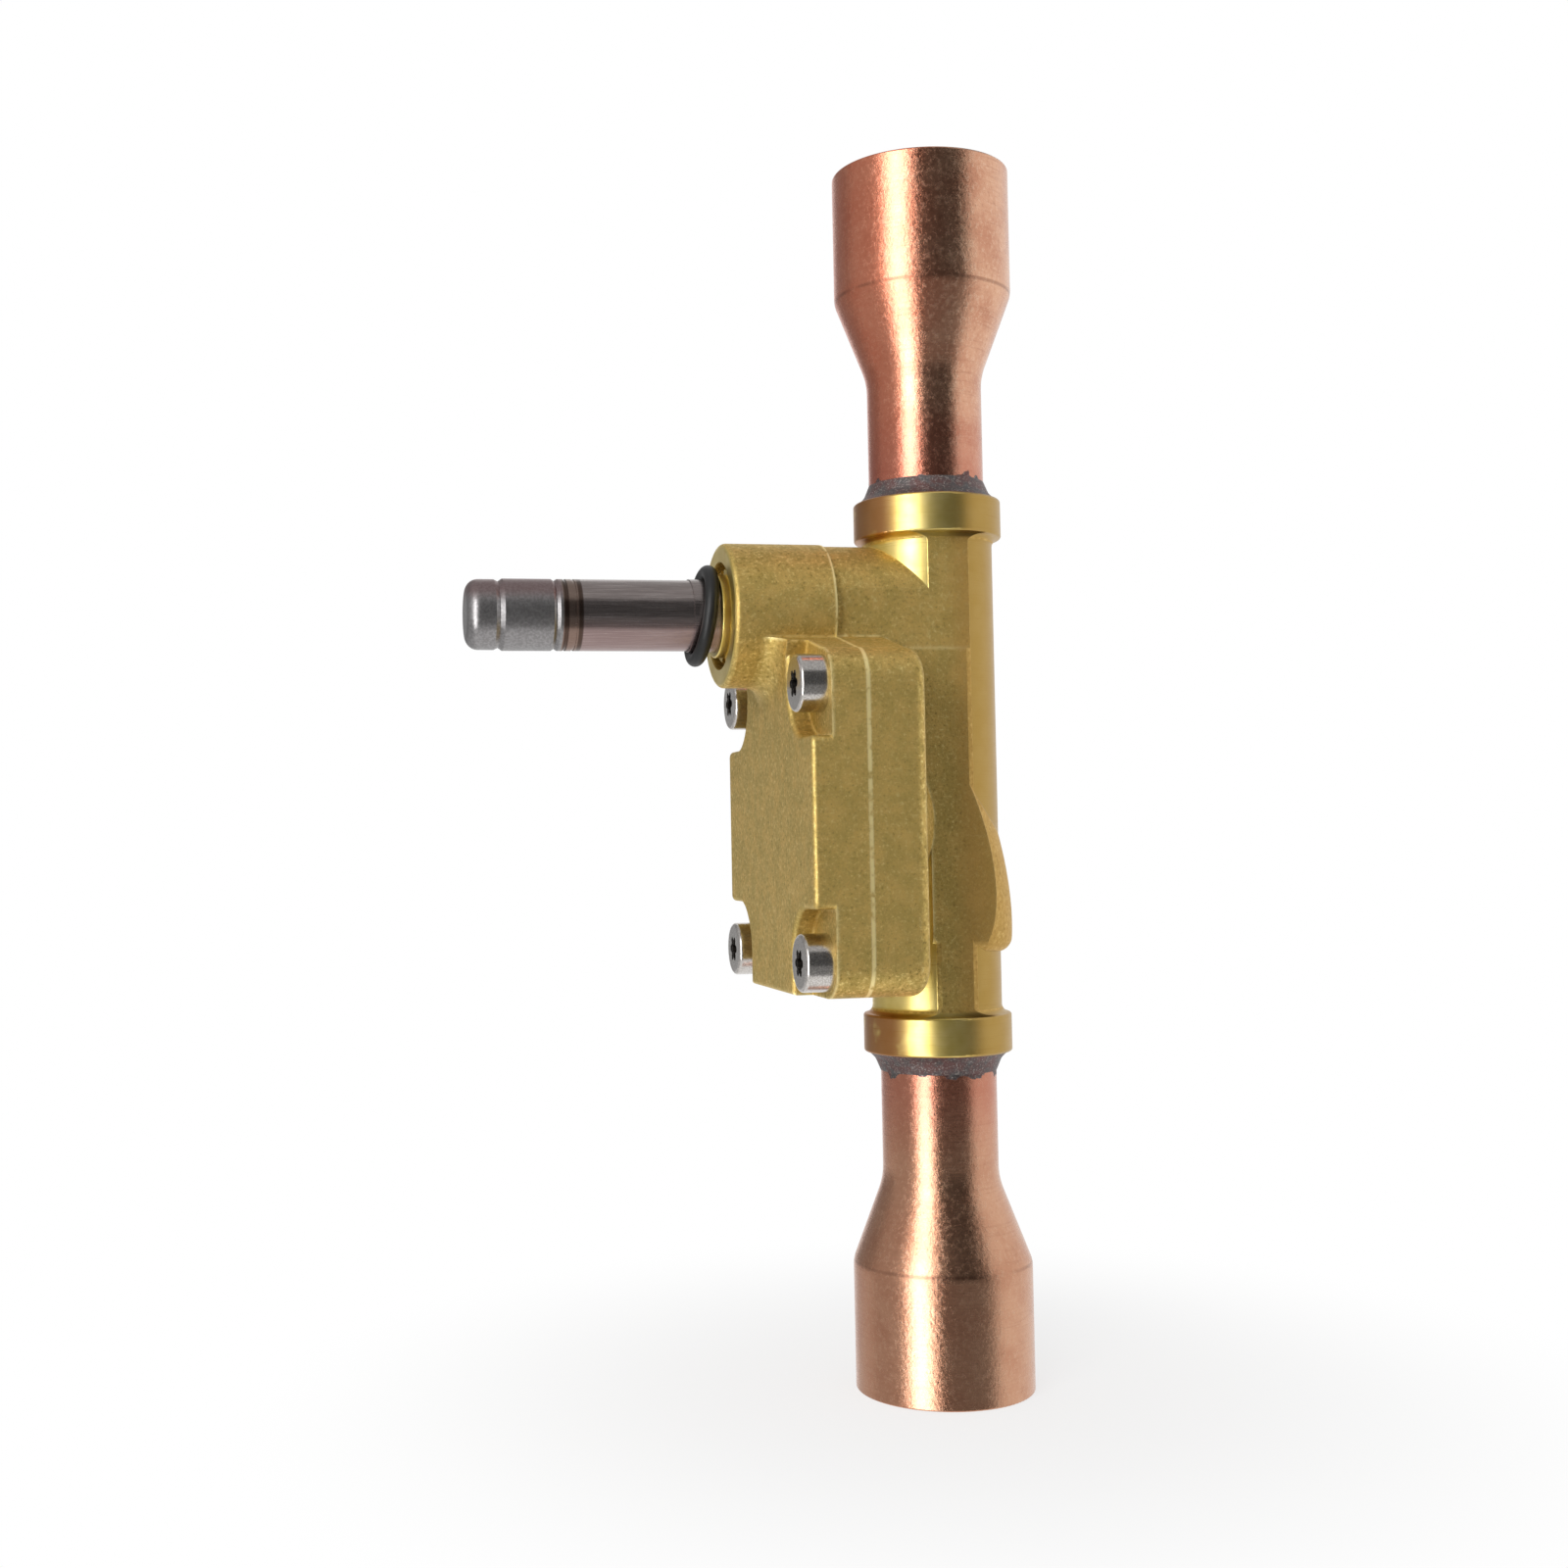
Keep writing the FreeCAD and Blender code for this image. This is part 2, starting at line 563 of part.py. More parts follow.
def upper_connector():
    """Swaged copper connector: neck, cone and solder socket."""
    foot = MIDDLE + CONNECTOR_FOOT
    cone_foot = LENGTH - SOCKET_DEPTH - CONE_LENGTH
    cone_top = LENGTH - SOCKET_DEPTH
    corners = [
        (NECK_BORE_R, foot, 0),
        (NECK_R, foot, 0),
        (NECK_R, cone_foot, CONE_FOOT_ROUND + CONNECTOR_WALL),
        (SOCKET_R, cone_top, CONE_TOP_ROUND + CONNECTOR_WALL),
        (SOCKET_R, LENGTH, MOUTH_ROUND),
        (SOCKET_BORE_R, LENGTH, 0),
        (SOCKET_BORE_R, cone_top, CONE_TOP_ROUND),
        (NECK_BORE_R, cone_foot, CONE_FOOT_ROUND),
    ]
    return turned_along_flow(corners)


def flipped(shape):
    """The same piece turned over about the armature direction through the valve's middle."""
    copy = shape.copy()
    copy.rotate(Vector(0, 0, MIDDLE), Vector(1, 0, 0), FULL_TURN / 2)
    return copy


def lower_connector():
    return flipped(upper_connector())


def upper_braze_ring():
    """Silver braze that has run around the neck where it enters the upper collar."""
    face = MIDDLE + BODY_HALF
    inner = NECK_R + BRAZE_GAP
    corners = [
        (inner, face, 0),
        (inner + BRAZE_SPREAD, face, 0),
        (inner + BRAZE_WAIST, face + BRAZE_WAIST_RISE, BRAZE_SPREAD),
        (inner + BRAZE_GAP, face + BRAZE_HEIGHT, 0),
        (inner, face + BRAZE_HEIGHT, 0),
    ]
    return turned_along_flow(corners)


def lower_braze_ring():
    return flipped(upper_braze_ring())


def armature_tube():
    """Thin stainless tube with a foot flange, a thicker root and a welded band at its outer end."""
    band = TUBE_END_REACH - WELD_BAND_LENGTH
    groove_r = COIL_TUBE_R - WELD_GROOVE_DEPTH
    corners = [
        (TUBE_FLANGE_REACH, COIL_TUBE_BORE_R, 0),
        (TUBE_FLANGE_REACH, TUBE_FLANGE_R, 0),
        (NUT_FOOT_REACH, TUBE_FLANGE_R, 0),
        (NUT_FOOT_REACH, TUBE_ROOT_R, 0),
        (TUBE_ROOT_END_REACH, TUBE_ROOT_R, 0),
        (TUBE_ROOT_END_REACH, COIL_TUBE_R, 0),
    ]
    for groove in (band, TUBE_END_REACH - 2 * WELD_GROOVE_WIDTH):
        corners.append((groove, COIL_TUBE_R, 0))
        corners.append((groove, groove_r, 0))
        corners.append((groove + WELD_GROOVE_WIDTH, groove_r, 0))
        corners.append((groove + WELD_GROOVE_WIDTH, COIL_TUBE_R, 0))
    corners.append((TUBE_END_REACH, COIL_TUBE_R, 0))
    corners.append((TUBE_END_REACH, COIL_TUBE_BORE_R, 0))
    return turned_along_reach(corners, PILOT_Z)


def fixed_core():
    """Magnetic stop that closes the tube, with the grooves that the coil's clip snaps into."""
    tip_r = COIL_TUBE_R - CORE_TIP_STEP
    corners = [
        (CORE_FACE_REACH, 0, 0),
        (CORE_FACE_REACH, COIL_TUBE_BORE_R, 0),
        (TUBE_END_REACH, COIL_TUBE_BORE_R, 0),
        (TUBE_END_REACH, COIL_TUBE_R, 0),
        (FOOT_GROOVE_REACH - FOOT_GROOVE_HALF, COIL_TUBE_R, 0),
        (FOOT_GROOVE_REACH, COIL_TUBE_R - FOOT_GROOVE_DEPTH, 0),
        (FOOT_GROOVE_REACH + FOOT_GROOVE_HALF, COIL_TUBE_R, 0),
        (LATCH_GROOVE_REACH - LATCH_GROOVE_HALF, COIL_TUBE_R, 0),
        (LATCH_GROOVE_REACH, COIL_TUBE_R - LATCH_GROOVE_DEPTH, 0),
        (LATCH_GROOVE_REACH + LATCH_GROOVE_HALF, tip_r, 0),
        (CORE_TIP_REACH, tip_r, CORE_TIP_ROUND),
        (CORE_TIP_REACH, 0, 0),
    ]
    core = turned_along_reach(corners, PILOT_Z)
    slot = ring(
        CORE_FACE_REACH - CUT_SPARE,
        CORE_FACE_REACH + SHADING_RING_DEPTH,
        SHADING_RING_R - SHADING_RING_WIDTH,
        SHADING_RING_R,
        PILOT_Z,
    )
    return core.cut(slot)


def shading_ring():
    """Copper ring let into the core's face against hum."""
    inner = SHADING_RING_R - SHADING_RING_WIDTH
    return ring(CORE_FACE_REACH, CORE_FACE_REACH + SHADING_RING_DEPTH, inner, SHADING_RING_R, PILOT_Z)


def tube_nut():
    """Notched ring nut that clamps the foot flange of the armature tube."""
    bore_r = TUBE_ROOT_R + NUT_CLEARANCE
    neck_reach = NUT_SHOULDER_REACH + NUT_NECK_HEIGHT
    nut = turned_along_reach(
        [
            (NUT_FOOT_REACH, bore_r, 0),
            (NUT_FOOT_REACH, NUT_R, 0),
            (NUT_SHOULDER_REACH, NUT_R, NUT_EDGE),
            (NUT_SHOULDER_REACH, NUT_NECK_R, 0),
            (neck_reach, NUT_NECK_R, NUT_EDGE),
            (neck_reach, bore_r, 0),
        ],
        PILOT_Z,
    )
    half = NOTCH_WIDTH / 2
    low = NUT_SHOULDER_REACH - NOTCH_DEPTH
    high = neck_reach + CUT_SPARE
    wide = NUT_R + CUT_SPARE
    for sign in (-1, 1):
        sides = sorted((sign * NUT_NECK_R, sign * wide))
        nut = nut.cut(block(low, high, sides[0], sides[1], PILOT_Z - half, PILOT_Z + half))
        heights = sorted((PILOT_Z + sign * NUT_NECK_R, PILOT_Z + sign * wide))
        nut = nut.cut(block(low, high, -half, half, heights[0], heights[1]))
    return nut


def tube_seal_ring():
    """Square-section ring squeezed under the foot flange of the armature tube."""
    floor = TUBE_FLANGE_REACH - TUBE_SEAL_THICKNESS
    inner = TUBE_FLANGE_R - TUBE_SEAL_WIDTH
    return ring(floor, TUBE_FLANGE_REACH, inner, TUBE_FLANGE_R, PILOT_Z)


def channel_seal_ring():
    """Square-section ring between body and cover around the pilot outlet."""
    floor = JOINT_REACH - CHANNEL_SEAL_THICKNESS
    inner = CHANNEL_SEAL_R - CHANNEL_SEAL_WIDTH / 2
    outer = CHANNEL_SEAL_R + CHANNEL_SEAL_WIDTH / 2
    return ring(floor, JOINT_REACH, inner, outer, PILOT_Z)


def coil_seal_ring():
    """Loose rubber ring that seals the foot of the coil, lying askew on the tube."""
    torus = Part.makeTorus(COIL_RING_R, COIL_RING_CORD_R, Vector(0, 0, 0), Vector(1, 0, 0))
    torus.rotate(Vector(0, 0, 0), Vector(0, 1, 0), COIL_RING_TILT)
    torus.translate(spot(COIL_RING_REACH, 0, PILOT_Z))
    return torus


def pilot_orifice():
    """Brass jet with the small seat that the armature closes."""
    head = PILOT_FLOOR_REACH + GASKET_THICKNESS
    nose = head + ORIFICE_HEAD_THICKNESS
    foot = PILOT_FLOOR_REACH - ORIFICE_SHANK_LENGTH
    corners = [
        (foot, ORIFICE_HOLE_R, 0),
        (foot, ORIFICE_SHANK_R, 0),
        (head, ORIFICE_SHANK_R, 0),
        (head, ORIFICE_HEAD_R, 0),
        (nose, ORIFICE_HEAD_R, 0),
        (nose, ORIFICE_NOSE_FOOT_R, 0),
        (PILOT_SEAT_REACH, ORIFICE_NOSE_R, 0),
        (PILOT_SEAT_REACH, ORIFICE_HOLE_R, 0),
    ]
    return turned_along_reach(corners, PILOT_Z)


def pilot_orifice_gasket():
    """Soft metal gasket under the head of the jet."""
    inner = ORIFICE_SHANK_R + THREAD_CLEARANCE
    end = PILOT_FLOOR_REACH + GASKET_THICKNESS
    return ring(PILOT_FLOOR_REACH, end, inner, ORIFICE_HEAD_R, PILOT_Z)


def armature():
    """Moving iron with gas grooves, a spring pocket above and a seat pocket below."""
    corners = [
        (ARMATURE_FOOT_REACH, 0, 0),
        (ARMATURE_FOOT_REACH, ARMATURE_R, ARMATURE_EDGE),
        (ARMATURE_TOP_REACH, ARMATURE_R, ARMATURE_EDGE),
        (ARMATURE_TOP_REACH, 0, 0),
    ]
    iron = turned_along_reach(corners, PILOT_Z)
    iron = iron.cut(bar(PLATE_R, 0, PILOT_SEAT_REACH + PLATE_THICKNESS, PILOT_Z))
    pocket_floor = ARMATURE_TOP_REACH - SPRING_POCKET_DEPTH
    iron = iron.cut(bar(SPRING_POCKET_R, pocket_floor, CORE_FACE_REACH, PILOT_Z))
    half = ARMATURE_GROOVE_WIDTH / 2
    floor = ARMATURE_R - ARMATURE_GROOVE_DEPTH
    wide = ARMATURE_R + CUT_SPARE
    for side_from, side_to in ((floor, wide), (-wide, -floor)):
        iron = iron.cut(block(0, CORE_FACE_REACH, side_from, side_to, PILOT_Z - half, PILOT_Z + half))
    return iron


def pilot_seal_plate():
    """Soft plate in the armature's foot that shuts the pilot jet."""
    return bar(PLATE_R, PILOT_SEAT_REACH, PILOT_SEAT_REACH + PLATE_THICKNESS, PILOT_Z)


def coil_spring(foot_r, top_r, wire_r, turns, reach_from, reach_to, height):
    """Wire spring along the armature direction between two seats, its round wire in short straight runs."""
    gap = wire_r + SPRING_END_GAP
    rise = reach_to - reach_from - 2 * gap
    runs = turns * SPRING_RUNS_PER_TURN
    points = []
    for step in range(runs + 1):
        share = step / runs
        angle = math.radians(FULL_TURN * turns * share)
        radius = foot_r + (top_r - foot_r) * share
        side = radius * math.cos(angle)
        lift = radius * math.sin(angle)
        points.append(spot(reach_from + gap + rise * share, side, height + lift))
    along = (points[1] - points[0]).normalize()
    outward = spot(0, 1, 0)
    across = along.cross(outward)
    section = []
    for corner in range(SPRING_WIRE_SIDES + 1):
        angle = math.radians(FULL_TURN * (corner % SPRING_WIRE_SIDES) / SPRING_WIRE_SIDES)
        section.append(points[0] + outward * (wire_r * math.cos(angle)) + across * (wire_r * math.sin(angle)))
    sharp_corners = 1
    return Part.makePolygon(points).makePipeShell([Part.makePolygon(section)], True, True, sharp_corners)


def armature_spring():
    """Spring that pushes the armature onto the pilot jet."""
    pocket_floor = ARMATURE_TOP_REACH - SPRING_POCKET_DEPTH
    return coil_spring(
        ARMATURE_SPRING_R,
        ARMATURE_SPRING_R,
        ARMATURE_SPRING_WIRE_R,
        ARMATURE_SPRING_TURNS,
        pocket_floor,
        CORE_FACE_REACH,
        PILOT_Z,
    )


def closing_spring():
    """Conical spring that pushes the main disc onto the seat."""
    return coil_spring(
        CLOSING_SPRING_FOOT_R,
        CLOSING_SPRING_TOP_R,
        CLOSING_SPRING_WIRE_R,
        CLOSING_SPRING_TURNS,
        CLAMP_NUT_REACH,
        SERVO_ROOF_REACH,
        SEAT_Z,
    )


def diaphragm():
    """Rubber diaphragm, clamped at its rim and dished down to the disc."""
    upper_rim = JOINT_REACH + DIAPHRAGM_THICKNESS
    inner = STEM_R + STEM_CLEARANCE
    corners = [
        (DIAPHRAGM_REACH, inner, 0),
        (WASHER_REACH, inner, 0),
        (WASHER_REACH, DIAPHRAGM_CENTRE_R, DIAPHRAGM_BEND),
        (upper_rim, SERVO_CHAMBER_R, DIAPHRAGM_BEND),
        (upper_rim, DIAPHRAGM_RIM_R, 0),
        (JOINT_REACH, DIAPHRAGM_RIM_R, 0),
        (JOINT_REACH, SERVO_CHAMBER_R, DIAPHRAGM_BEND),
        (DIAPHRAGM_REACH, DIAPHRAGM_CENTRE_R, DIAPHRAGM_BEND),
    ]
    return turned_along_reach(corners, SEAT_Z)


def diaphragm_washer():
    """Steel washer above the diaphragm, the lower seat of the closing spring."""
    return ring(WASHER_REACH, CLAMP_NUT_REACH, STEM_R + STEM_CLEARANCE, WASHER_R, SEAT_Z)


def disc_holder():
    """Brass cup that backs the soft disc."""
    corners = [
        (HOLDER_REACH, STEM_R + STEM_CLEARANCE, 0),
        (DIAPHRAGM_REACH, STEM_R + STEM_CLEARANCE, 0),
        (DIAPHRAGM_REACH, HOLDER_R, CAST_EDGE / 2),
        (HOLDER_REACH - HOLDER_LIP, HOLDER_R, 0),
        (HOLDER_REACH - HOLDER_LIP, DISC_R + STEM_CLEARANCE, 0),
        (HOLDER_REACH, DISC_R + STEM_CLEARANCE, 0),
    ]
    return turned_along_reach(corners, SEAT_Z)


def main_valve_disc():
    """Soft disc that closes the main seat."""
    return ring(SEAT_LIP_REACH, HOLDER_REACH, STEM_R + STEM_CLEARANCE, DISC_R, SEAT_Z)


def clamp_stem():
    """Headed stem that holds the servo stack together, drilled with the bleed hole."""
    head = SEAT_LIP_REACH - STEM_HEAD_THICKNESS
    corners = [
        (head, BLEED_R, 0),
        (head, STEM_HEAD_R, CAST_EDGE),
        (SEAT_LIP_REACH, STEM_HEAD_R, 0),
        (SEAT_LIP_REACH, STEM_R, 0),
        (STEM_TOP_REACH, STEM_R, 0),
        (STEM_TOP_REACH, BLEED_R, 0),
    ]
    return turned_along_reach(corners, SEAT_Z)


def clamp_nut():
    """Thin hexagon nut on the stem."""
    corner_r = NUT_WIDTH / 2 / math.cos(math.pi / NUT_CORNERS)
    points = []
    for corner in range(NUT_CORNERS + 1):
        angle = math.radians(FULL_TURN * (corner % NUT_CORNERS) / NUT_CORNERS)
        points.append(spot(CLAMP_NUT_REACH, corner_r * math.cos(angle), SEAT_Z + corner_r * math.sin(angle)))
    prism = Part.Face(Part.makePolygon(points)).extrude(spot(NUT_THICKNESS, 0, 0))
    return prism.cut(bar(STEM_R + STEM_CLEARANCE, WASHER_REACH, STEM_TOP_REACH, SEAT_Z))


PIECES = {
    "valve_body": valve_body,
    "cover": cover,
    "cover_screws": cover_screws,
    "upper_connector": upper_connector,
    "lower_connector": lower_connector,
    "upper_braze_ring": upper_braze_ring,
    "lower_braze_ring": lower_braze_ring,
    "armature_tube": armature_tube,
    "fixed_core": fixed_core,
    "shading_ring": shading_ring,
    "tube_nut": tube_nut,
    "tube_seal_ring": tube_seal_ring,
    "coil_seal_ring": coil_seal_ring,
    "channel_seal_ring": channel_seal_ring,
    "pilot_orifice": pilot_orifice,
    "pilot_orifice_gasket": pilot_orifice_gasket,
    "armature": armature,
    "pilot_seal_plate": pilot_seal_plate,
    "armature_spring": armature_spring,
    "diaphragm": diaphragm,
    "diaphragm_washer": diaphragm_washer,
    "disc_holder": disc_holder,
    "main_valve_disc": main_valve_disc,
    "clamp_stem": clamp_stem,
    "clamp_nut": clamp_nut,
    "closing_spring": closing_spring,
}

os.makedirs("parts", exist_ok=True)
for node, make in PIECES.items():
    shape = make()
    shape.exportStep(f"parts/{node}.step")
    print(node, len(shape.Solids), round(shape.Volume, 1), shape.isValid())
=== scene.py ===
import math

import bpy
from mathutils import Color, Matrix, Vector


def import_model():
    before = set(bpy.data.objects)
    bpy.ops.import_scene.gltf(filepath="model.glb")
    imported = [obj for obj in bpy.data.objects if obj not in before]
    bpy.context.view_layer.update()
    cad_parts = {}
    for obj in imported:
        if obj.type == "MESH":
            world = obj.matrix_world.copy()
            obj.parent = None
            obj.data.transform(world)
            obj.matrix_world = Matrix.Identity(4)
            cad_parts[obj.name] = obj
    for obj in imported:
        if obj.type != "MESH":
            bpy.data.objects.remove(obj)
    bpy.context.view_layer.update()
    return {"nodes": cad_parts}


# Looks of a refrigeration solenoid valve, in metres, in the frame of the CAD part.
# The flow line runs up +Z and the armature tube points along -X.
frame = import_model()
MM = 0.001

# Sizes of the CAD part that the finishes follow. A reach is a distance from the flow line along -X.
MIDDLE = 118 * MM
BODY_HALF = 53.3 * MM
COLLAR_FOOT = BODY_HALF - 7.3 * MM
BODY_TUBE_R = 12.45 * MM
PILOT_FLAT_HALF = 11.8 * MM
BOSS_REACH = 42.1 * MM
WELD_BAND_REACH = 70.4 * MM
JOINT_REACH = 22.6 * MM
BRAZE_TOP = BODY_HALF + 3.6 * MM
SOCKET_FOOT = 93.5 * MM
PILOT_Z = MIDDLE + 31 * MM
SEAT_Z = MIDDLE - 9 * MM
SCREW_HALF_SPACING = 25 * MM
SCREW_TOP_REACH = 34.5 * MM
DRIVE_R = 2.6 * MM

# Zones of the finishes: the value where a zone starts and the value where it counts in full
COLLARS = (COLLAR_FOOT - 1.2 * MM, COLLAR_FOOT - 0.6 * MM)
ROUND_TUBE = (BODY_TUBE_R + 0.12 * MM, BODY_TUBE_R + 0.06 * MM)
OFF_FLAT = (PILOT_FLAT_HALF - 0.01 * MM, PILOT_FLAT_HALF - 0.06 * MM)
BELLY_SIDE = (-2 * MM, 4 * MM)
COLLAR_REFLECTION_SIDE = (-8 * MM, -12 * MM)
JOINT_HIGHLIGHT_LINE = (0.45 * MM, 0.2 * MM)
BOSS_END = (BOSS_REACH - 0.25 * MM, BOSS_REACH - 0.1 * MM)
UPPER_PIPE = (MIDDLE - 10 * MM, MIDDLE + 10 * MM)
RED_REFLECTION_SIDE = (2 * MM, -12 * MM)
HEATED_NECK = (BODY_HALF + 24 * MM, BODY_HALF + 4 * MM)
CREASE_SHADE_LINE = (0.5 * MM, 0.1 * MM)
BRAZE_FLOW = (BRAZE_TOP + 0.15 * MM, BRAZE_TOP - 0.15 * MM)
TUBE_UNDERSIDE = (PILOT_Z - 0.5 * MM, PILOT_Z - 3.5 * MM)
WELD_HEAT = (WELD_BAND_REACH - 1.2 * MM, WELD_BAND_REACH - 0.7 * MM)
WELD_EDGE = (0.55 * MM, 0.3 * MM)
WELD_CENTRE_REACH = WELD_BAND_REACH + 0.65 * MM
WELD_HALF_WIDTH = 1.35 * MM
CORE_TOP_SIDE = (PILOT_Z + 1.5 * MM, PILOT_Z + 4.5 * MM)
DRIVE_WIDTH = (DRIVE_R + 0.05 * MM, DRIVE_R)
DRIVE_INSIDE = (SCREW_TOP_REACH - 0.1 * MM, SCREW_TOP_REACH - 0.5 * MM)

# Cosine between a face and its rounded neighbourhood, where an edge starts and where it is full
EDGE_TURN = (0.99, 0.9)

# Shares of a noise between 0 and 1: where a spot starts and where it counts in full
BROAD = (0.3, 0.7)
PATCHES = (0.35, 0.68)
STAINS = (0.35, 0.65)
SOFT_SPOTS = (0.35, 0.7)
DRAWN_MARKS = (0.4, 0.7)
PALE_SPECKS = (0.52, 0.7)
DARK_SPECKS = (0.46, 0.3)
PALE_MOTTLES = (0.48, 0.66)
DARK_MOTTLES = (0.45, 0.3)
FINE_MARKS = (0.5, 0.7)
TOOL_MARKS = (0.55, 0.75)
DUST_SPOTS = (0.5, 0.8)
RUBBED_PLACES = (0.25, 0.5)
COLLAR_REFLECTION_PLACES = (0.2, 0.45)
CREASE_SHADE_PLACES = (0.3, 0.6)

# Roughness where a noise is 0 and where it is 1, or the same all over
BLASTED_ROUGH = (0.66, 0.5)
WORN_AND_HIGHLIGHT_ROUGH = 0.55
TURNED_ROUGH = (0.28, 0.42)
BRAZE_ROUGH = (0.42, 0.6)
COPPER_ROUGH = (0.18, 0.3)
TUBE_ROUGH = (0.22, 0.3)
CORE_ROUGH = (0.32, 0.44)
SCREW_ROUGH = (0.16, 0.28)
DRIVE_SHADE_ROUGH = 0.6
RUBBER_ROUGH = (0.42, 0.56)
WIRE_ROUGH = 0.28
PLASTIC_ROUGH = 0.45
SHEET_ROUGH = 0.45
GASKET_ROUGH = 0.4

# Depth of the blasted and turned surfaces, and the turned marks' share of it
FORGING_DEPTH = 0.06 * MM
TURNED_SHARE = 0.12

# Shares of the painted red reflection on the lower and the upper pipe, the heights of the copper's
# mottle and its braze against its fine marks, and how far the braze's edge wanders
RED_REFLECTION_SHARES = (0.15, 0.6)
MOTTLE_HEIGHT = 2.0
BRAZE_HEIGHT = 3.0
RAGGED_EDGE = 7 * MM

# Photograph's viewpoint
CAMERA_PLACE = (-0.1237, -0.349, 0.106)
CAMERA_YAW = math.radians(11.46)
CAMERA_PITCH = math.radians(1.77)
CAMERA_ROLL = math.radians(-1.01)
CAMERA_LENS = 43.13
CAMERA_SHIFT = 0.075

# Cards around the object: name, bearing in degrees, distance, half width, foot, head and light level
CARD_FOOT = -1.4
CARD_HEAD = 1.6
CARDS = (
    ("Dark card", 6, 1.4, 1.09, CARD_FOOT, CARD_HEAD, 0.08),
    ("Lower dark card", 8, 1.36, 1.2, CARD_FOOT, -0.12, 0.24),
    ("White card", -49, 1.4, 0.4, CARD_FOOT, CARD_HEAD, 1.4),
    ("Bright card", -49, 1.33, 0.27, -0.9, 1.1, 5.6),
    ("Upper bright card", -49, 1.31, 0.27, 0.5, 0.95, 7.4),
    ("Lower bright card", -49, 1.31, 0.27, -0.9, -0.3, 8.0),
    ("Grey card left", -97, 1.4, 0.65, CARD_FOOT, CARD_HEAD, 0.52),
    ("Grey card behind", -147, 1.4, 0.65, CARD_FOOT, CARD_HEAD, 0.34),
    ("Lower card behind", -147, 1.36, 0.65, CARD_FOOT, -0.12, 0.66),
)
CEILING_HEIGHT = 1.5
CEILING_HALF = 1.3
CEILING_LEVEL = 0.55

# Floor, whose own light to the camera rises to full white away from the object's foot
FLOOR_HALF = 4.0
FLOOR_ROUGH = 0.9
FLOOR_NEAR = 0.03
FLOOR_FAR = 0.14
FLOOR_NEAR_SHARE = 0.72

# Lamp and the room's even light on the object
KEY_PLACE = (-0.6, -0.7, 1.0)
KEY_SIZE = 0.5
KEY_POWER = 4.0
ROOM_LEVEL = 0.55
WHITE = (1.0, 1.0, 1.0, 1.0)

# Sockets of the Mix node in its two uses
MIX_COLOURS = (6, 7)
MIX_COLOUR_RESULT = 2
MIX_NUMBERS = (2, 3)
MIX_NUMBER_RESULT = 0


def tone(red, green, blue):
    """Linear colour from display values between 0 and 1."""
    return (*Color((red, green, blue)).from_srgb_to_scene_linear(), 1.0)


BRASS_DULL = tone(0.76, 0.66, 0.38)
BRASS_CLEAN = tone(0.83, 0.71, 0.42)
BRASS_PALE_SPECK = tone(0.95, 0.86, 0.57)
BRASS_DARK_SPECK = tone(0.61, 0.52, 0.28)
# Pale brass of rubbed edges, also a painted highlight on the edges and along the joint
BRASS_WORN_AND_HIGHLIGHT = tone(1.0, 0.93, 0.68)
BRASS_WARM = tone(0.80, 0.63, 0.35)
# Painted brown reflection on the collars' -X end
BRASS_BROWN_REFLECTION = tone(0.62, 0.38, 0.24)
TURNED_BRASS = tone(0.88, 0.78, 0.44)
TURNED_BRASS_PALE = tone(0.94, 0.85, 0.54)
TURNED_BRASS_MARK = tone(0.82, 0.69, 0.36)
TURNED_BRASS_WARM = tone(0.64, 0.50, 0.26)
BRAZE_GREY = tone(0.38, 0.37, 0.37)
BRAZE_PURPLE = tone(0.44, 0.33, 0.32)
BRAZE_GLINT = tone(0.66, 0.62, 0.60)
COPPER_DULL = tone(0.78, 0.56, 0.45)
COPPER_CLEAN = tone(0.86, 0.67, 0.55)
COPPER_PALE_MOTTLE = tone(0.93, 0.77, 0.66)
COPPER_DARK_MOTTLE = tone(0.62, 0.42, 0.33)
COPPER_MARK = tone(0.66, 0.45, 0.36)
# Painted red reflection on one side of the copper
COPPER_RED_REFLECTION = tone(0.84, 0.43, 0.32)
COPPER_BROWN = tone(0.72, 0.54, 0.43)
COPPER_HEATED = tone(0.72, 0.40, 0.34)
# Painted shade along the crease at the socket's foot
COPPER_CREASE_SHADE = tone(0.45, 0.28, 0.22)
TUBE_STEEL = tone(0.57, 0.53, 0.52)
TUBE_STEEL_PALE = tone(0.68, 0.64, 0.63)
# Painted red reflection on the tube's underside
TUBE_RED_REFLECTION = tone(0.56, 0.42, 0.41)
WELD_BROWN = tone(0.50, 0.41, 0.35)
WELD_DARK = tone(0.26, 0.20, 0.17)
CORE_STEEL = tone(0.54, 0.53, 0.53)
CORE_STEEL_PALE = tone(0.62, 0.61, 0.61)
# Painted red reflection on the top of the core steel
CORE_RED_REFLECTION = tone(0.50, 0.34, 0.33)
SCREW_STEEL = tone(0.72, 0.70, 0.68)
SCREW_STEEL_PALE = tone(0.86, 0.84, 0.82)
# Painted shade in the screws' drives
DRIVE_SHADE = tone(0.24, 0.22, 0.20)
WIRE_STEEL = tone(0.60, 0.60, 0.60)
WIRE_STEEL_PALE = tone(0.72, 0.72, 0.72)
RUBBER = tone(0.06, 0.06, 0.06)
RUBBER_DUST = tone(0.13, 0.12, 0.12)
PLASTIC = tone(0.86, 0.85, 0.82)
PLASTIC_PALE = tone(0.92, 0.91, 0.89)
SHEET_TAN = tone(0.80, 0.69, 0.42)
SHEET_PALE = tone(0.90, 0.80, 0.54)
ALUMINIUM = tone(0.76, 0.76, 0.77)
ALUMINIUM_PALE = tone(0.84, 0.84, 0.85)
PAPER = tone(0.96, 0.96, 0.96)


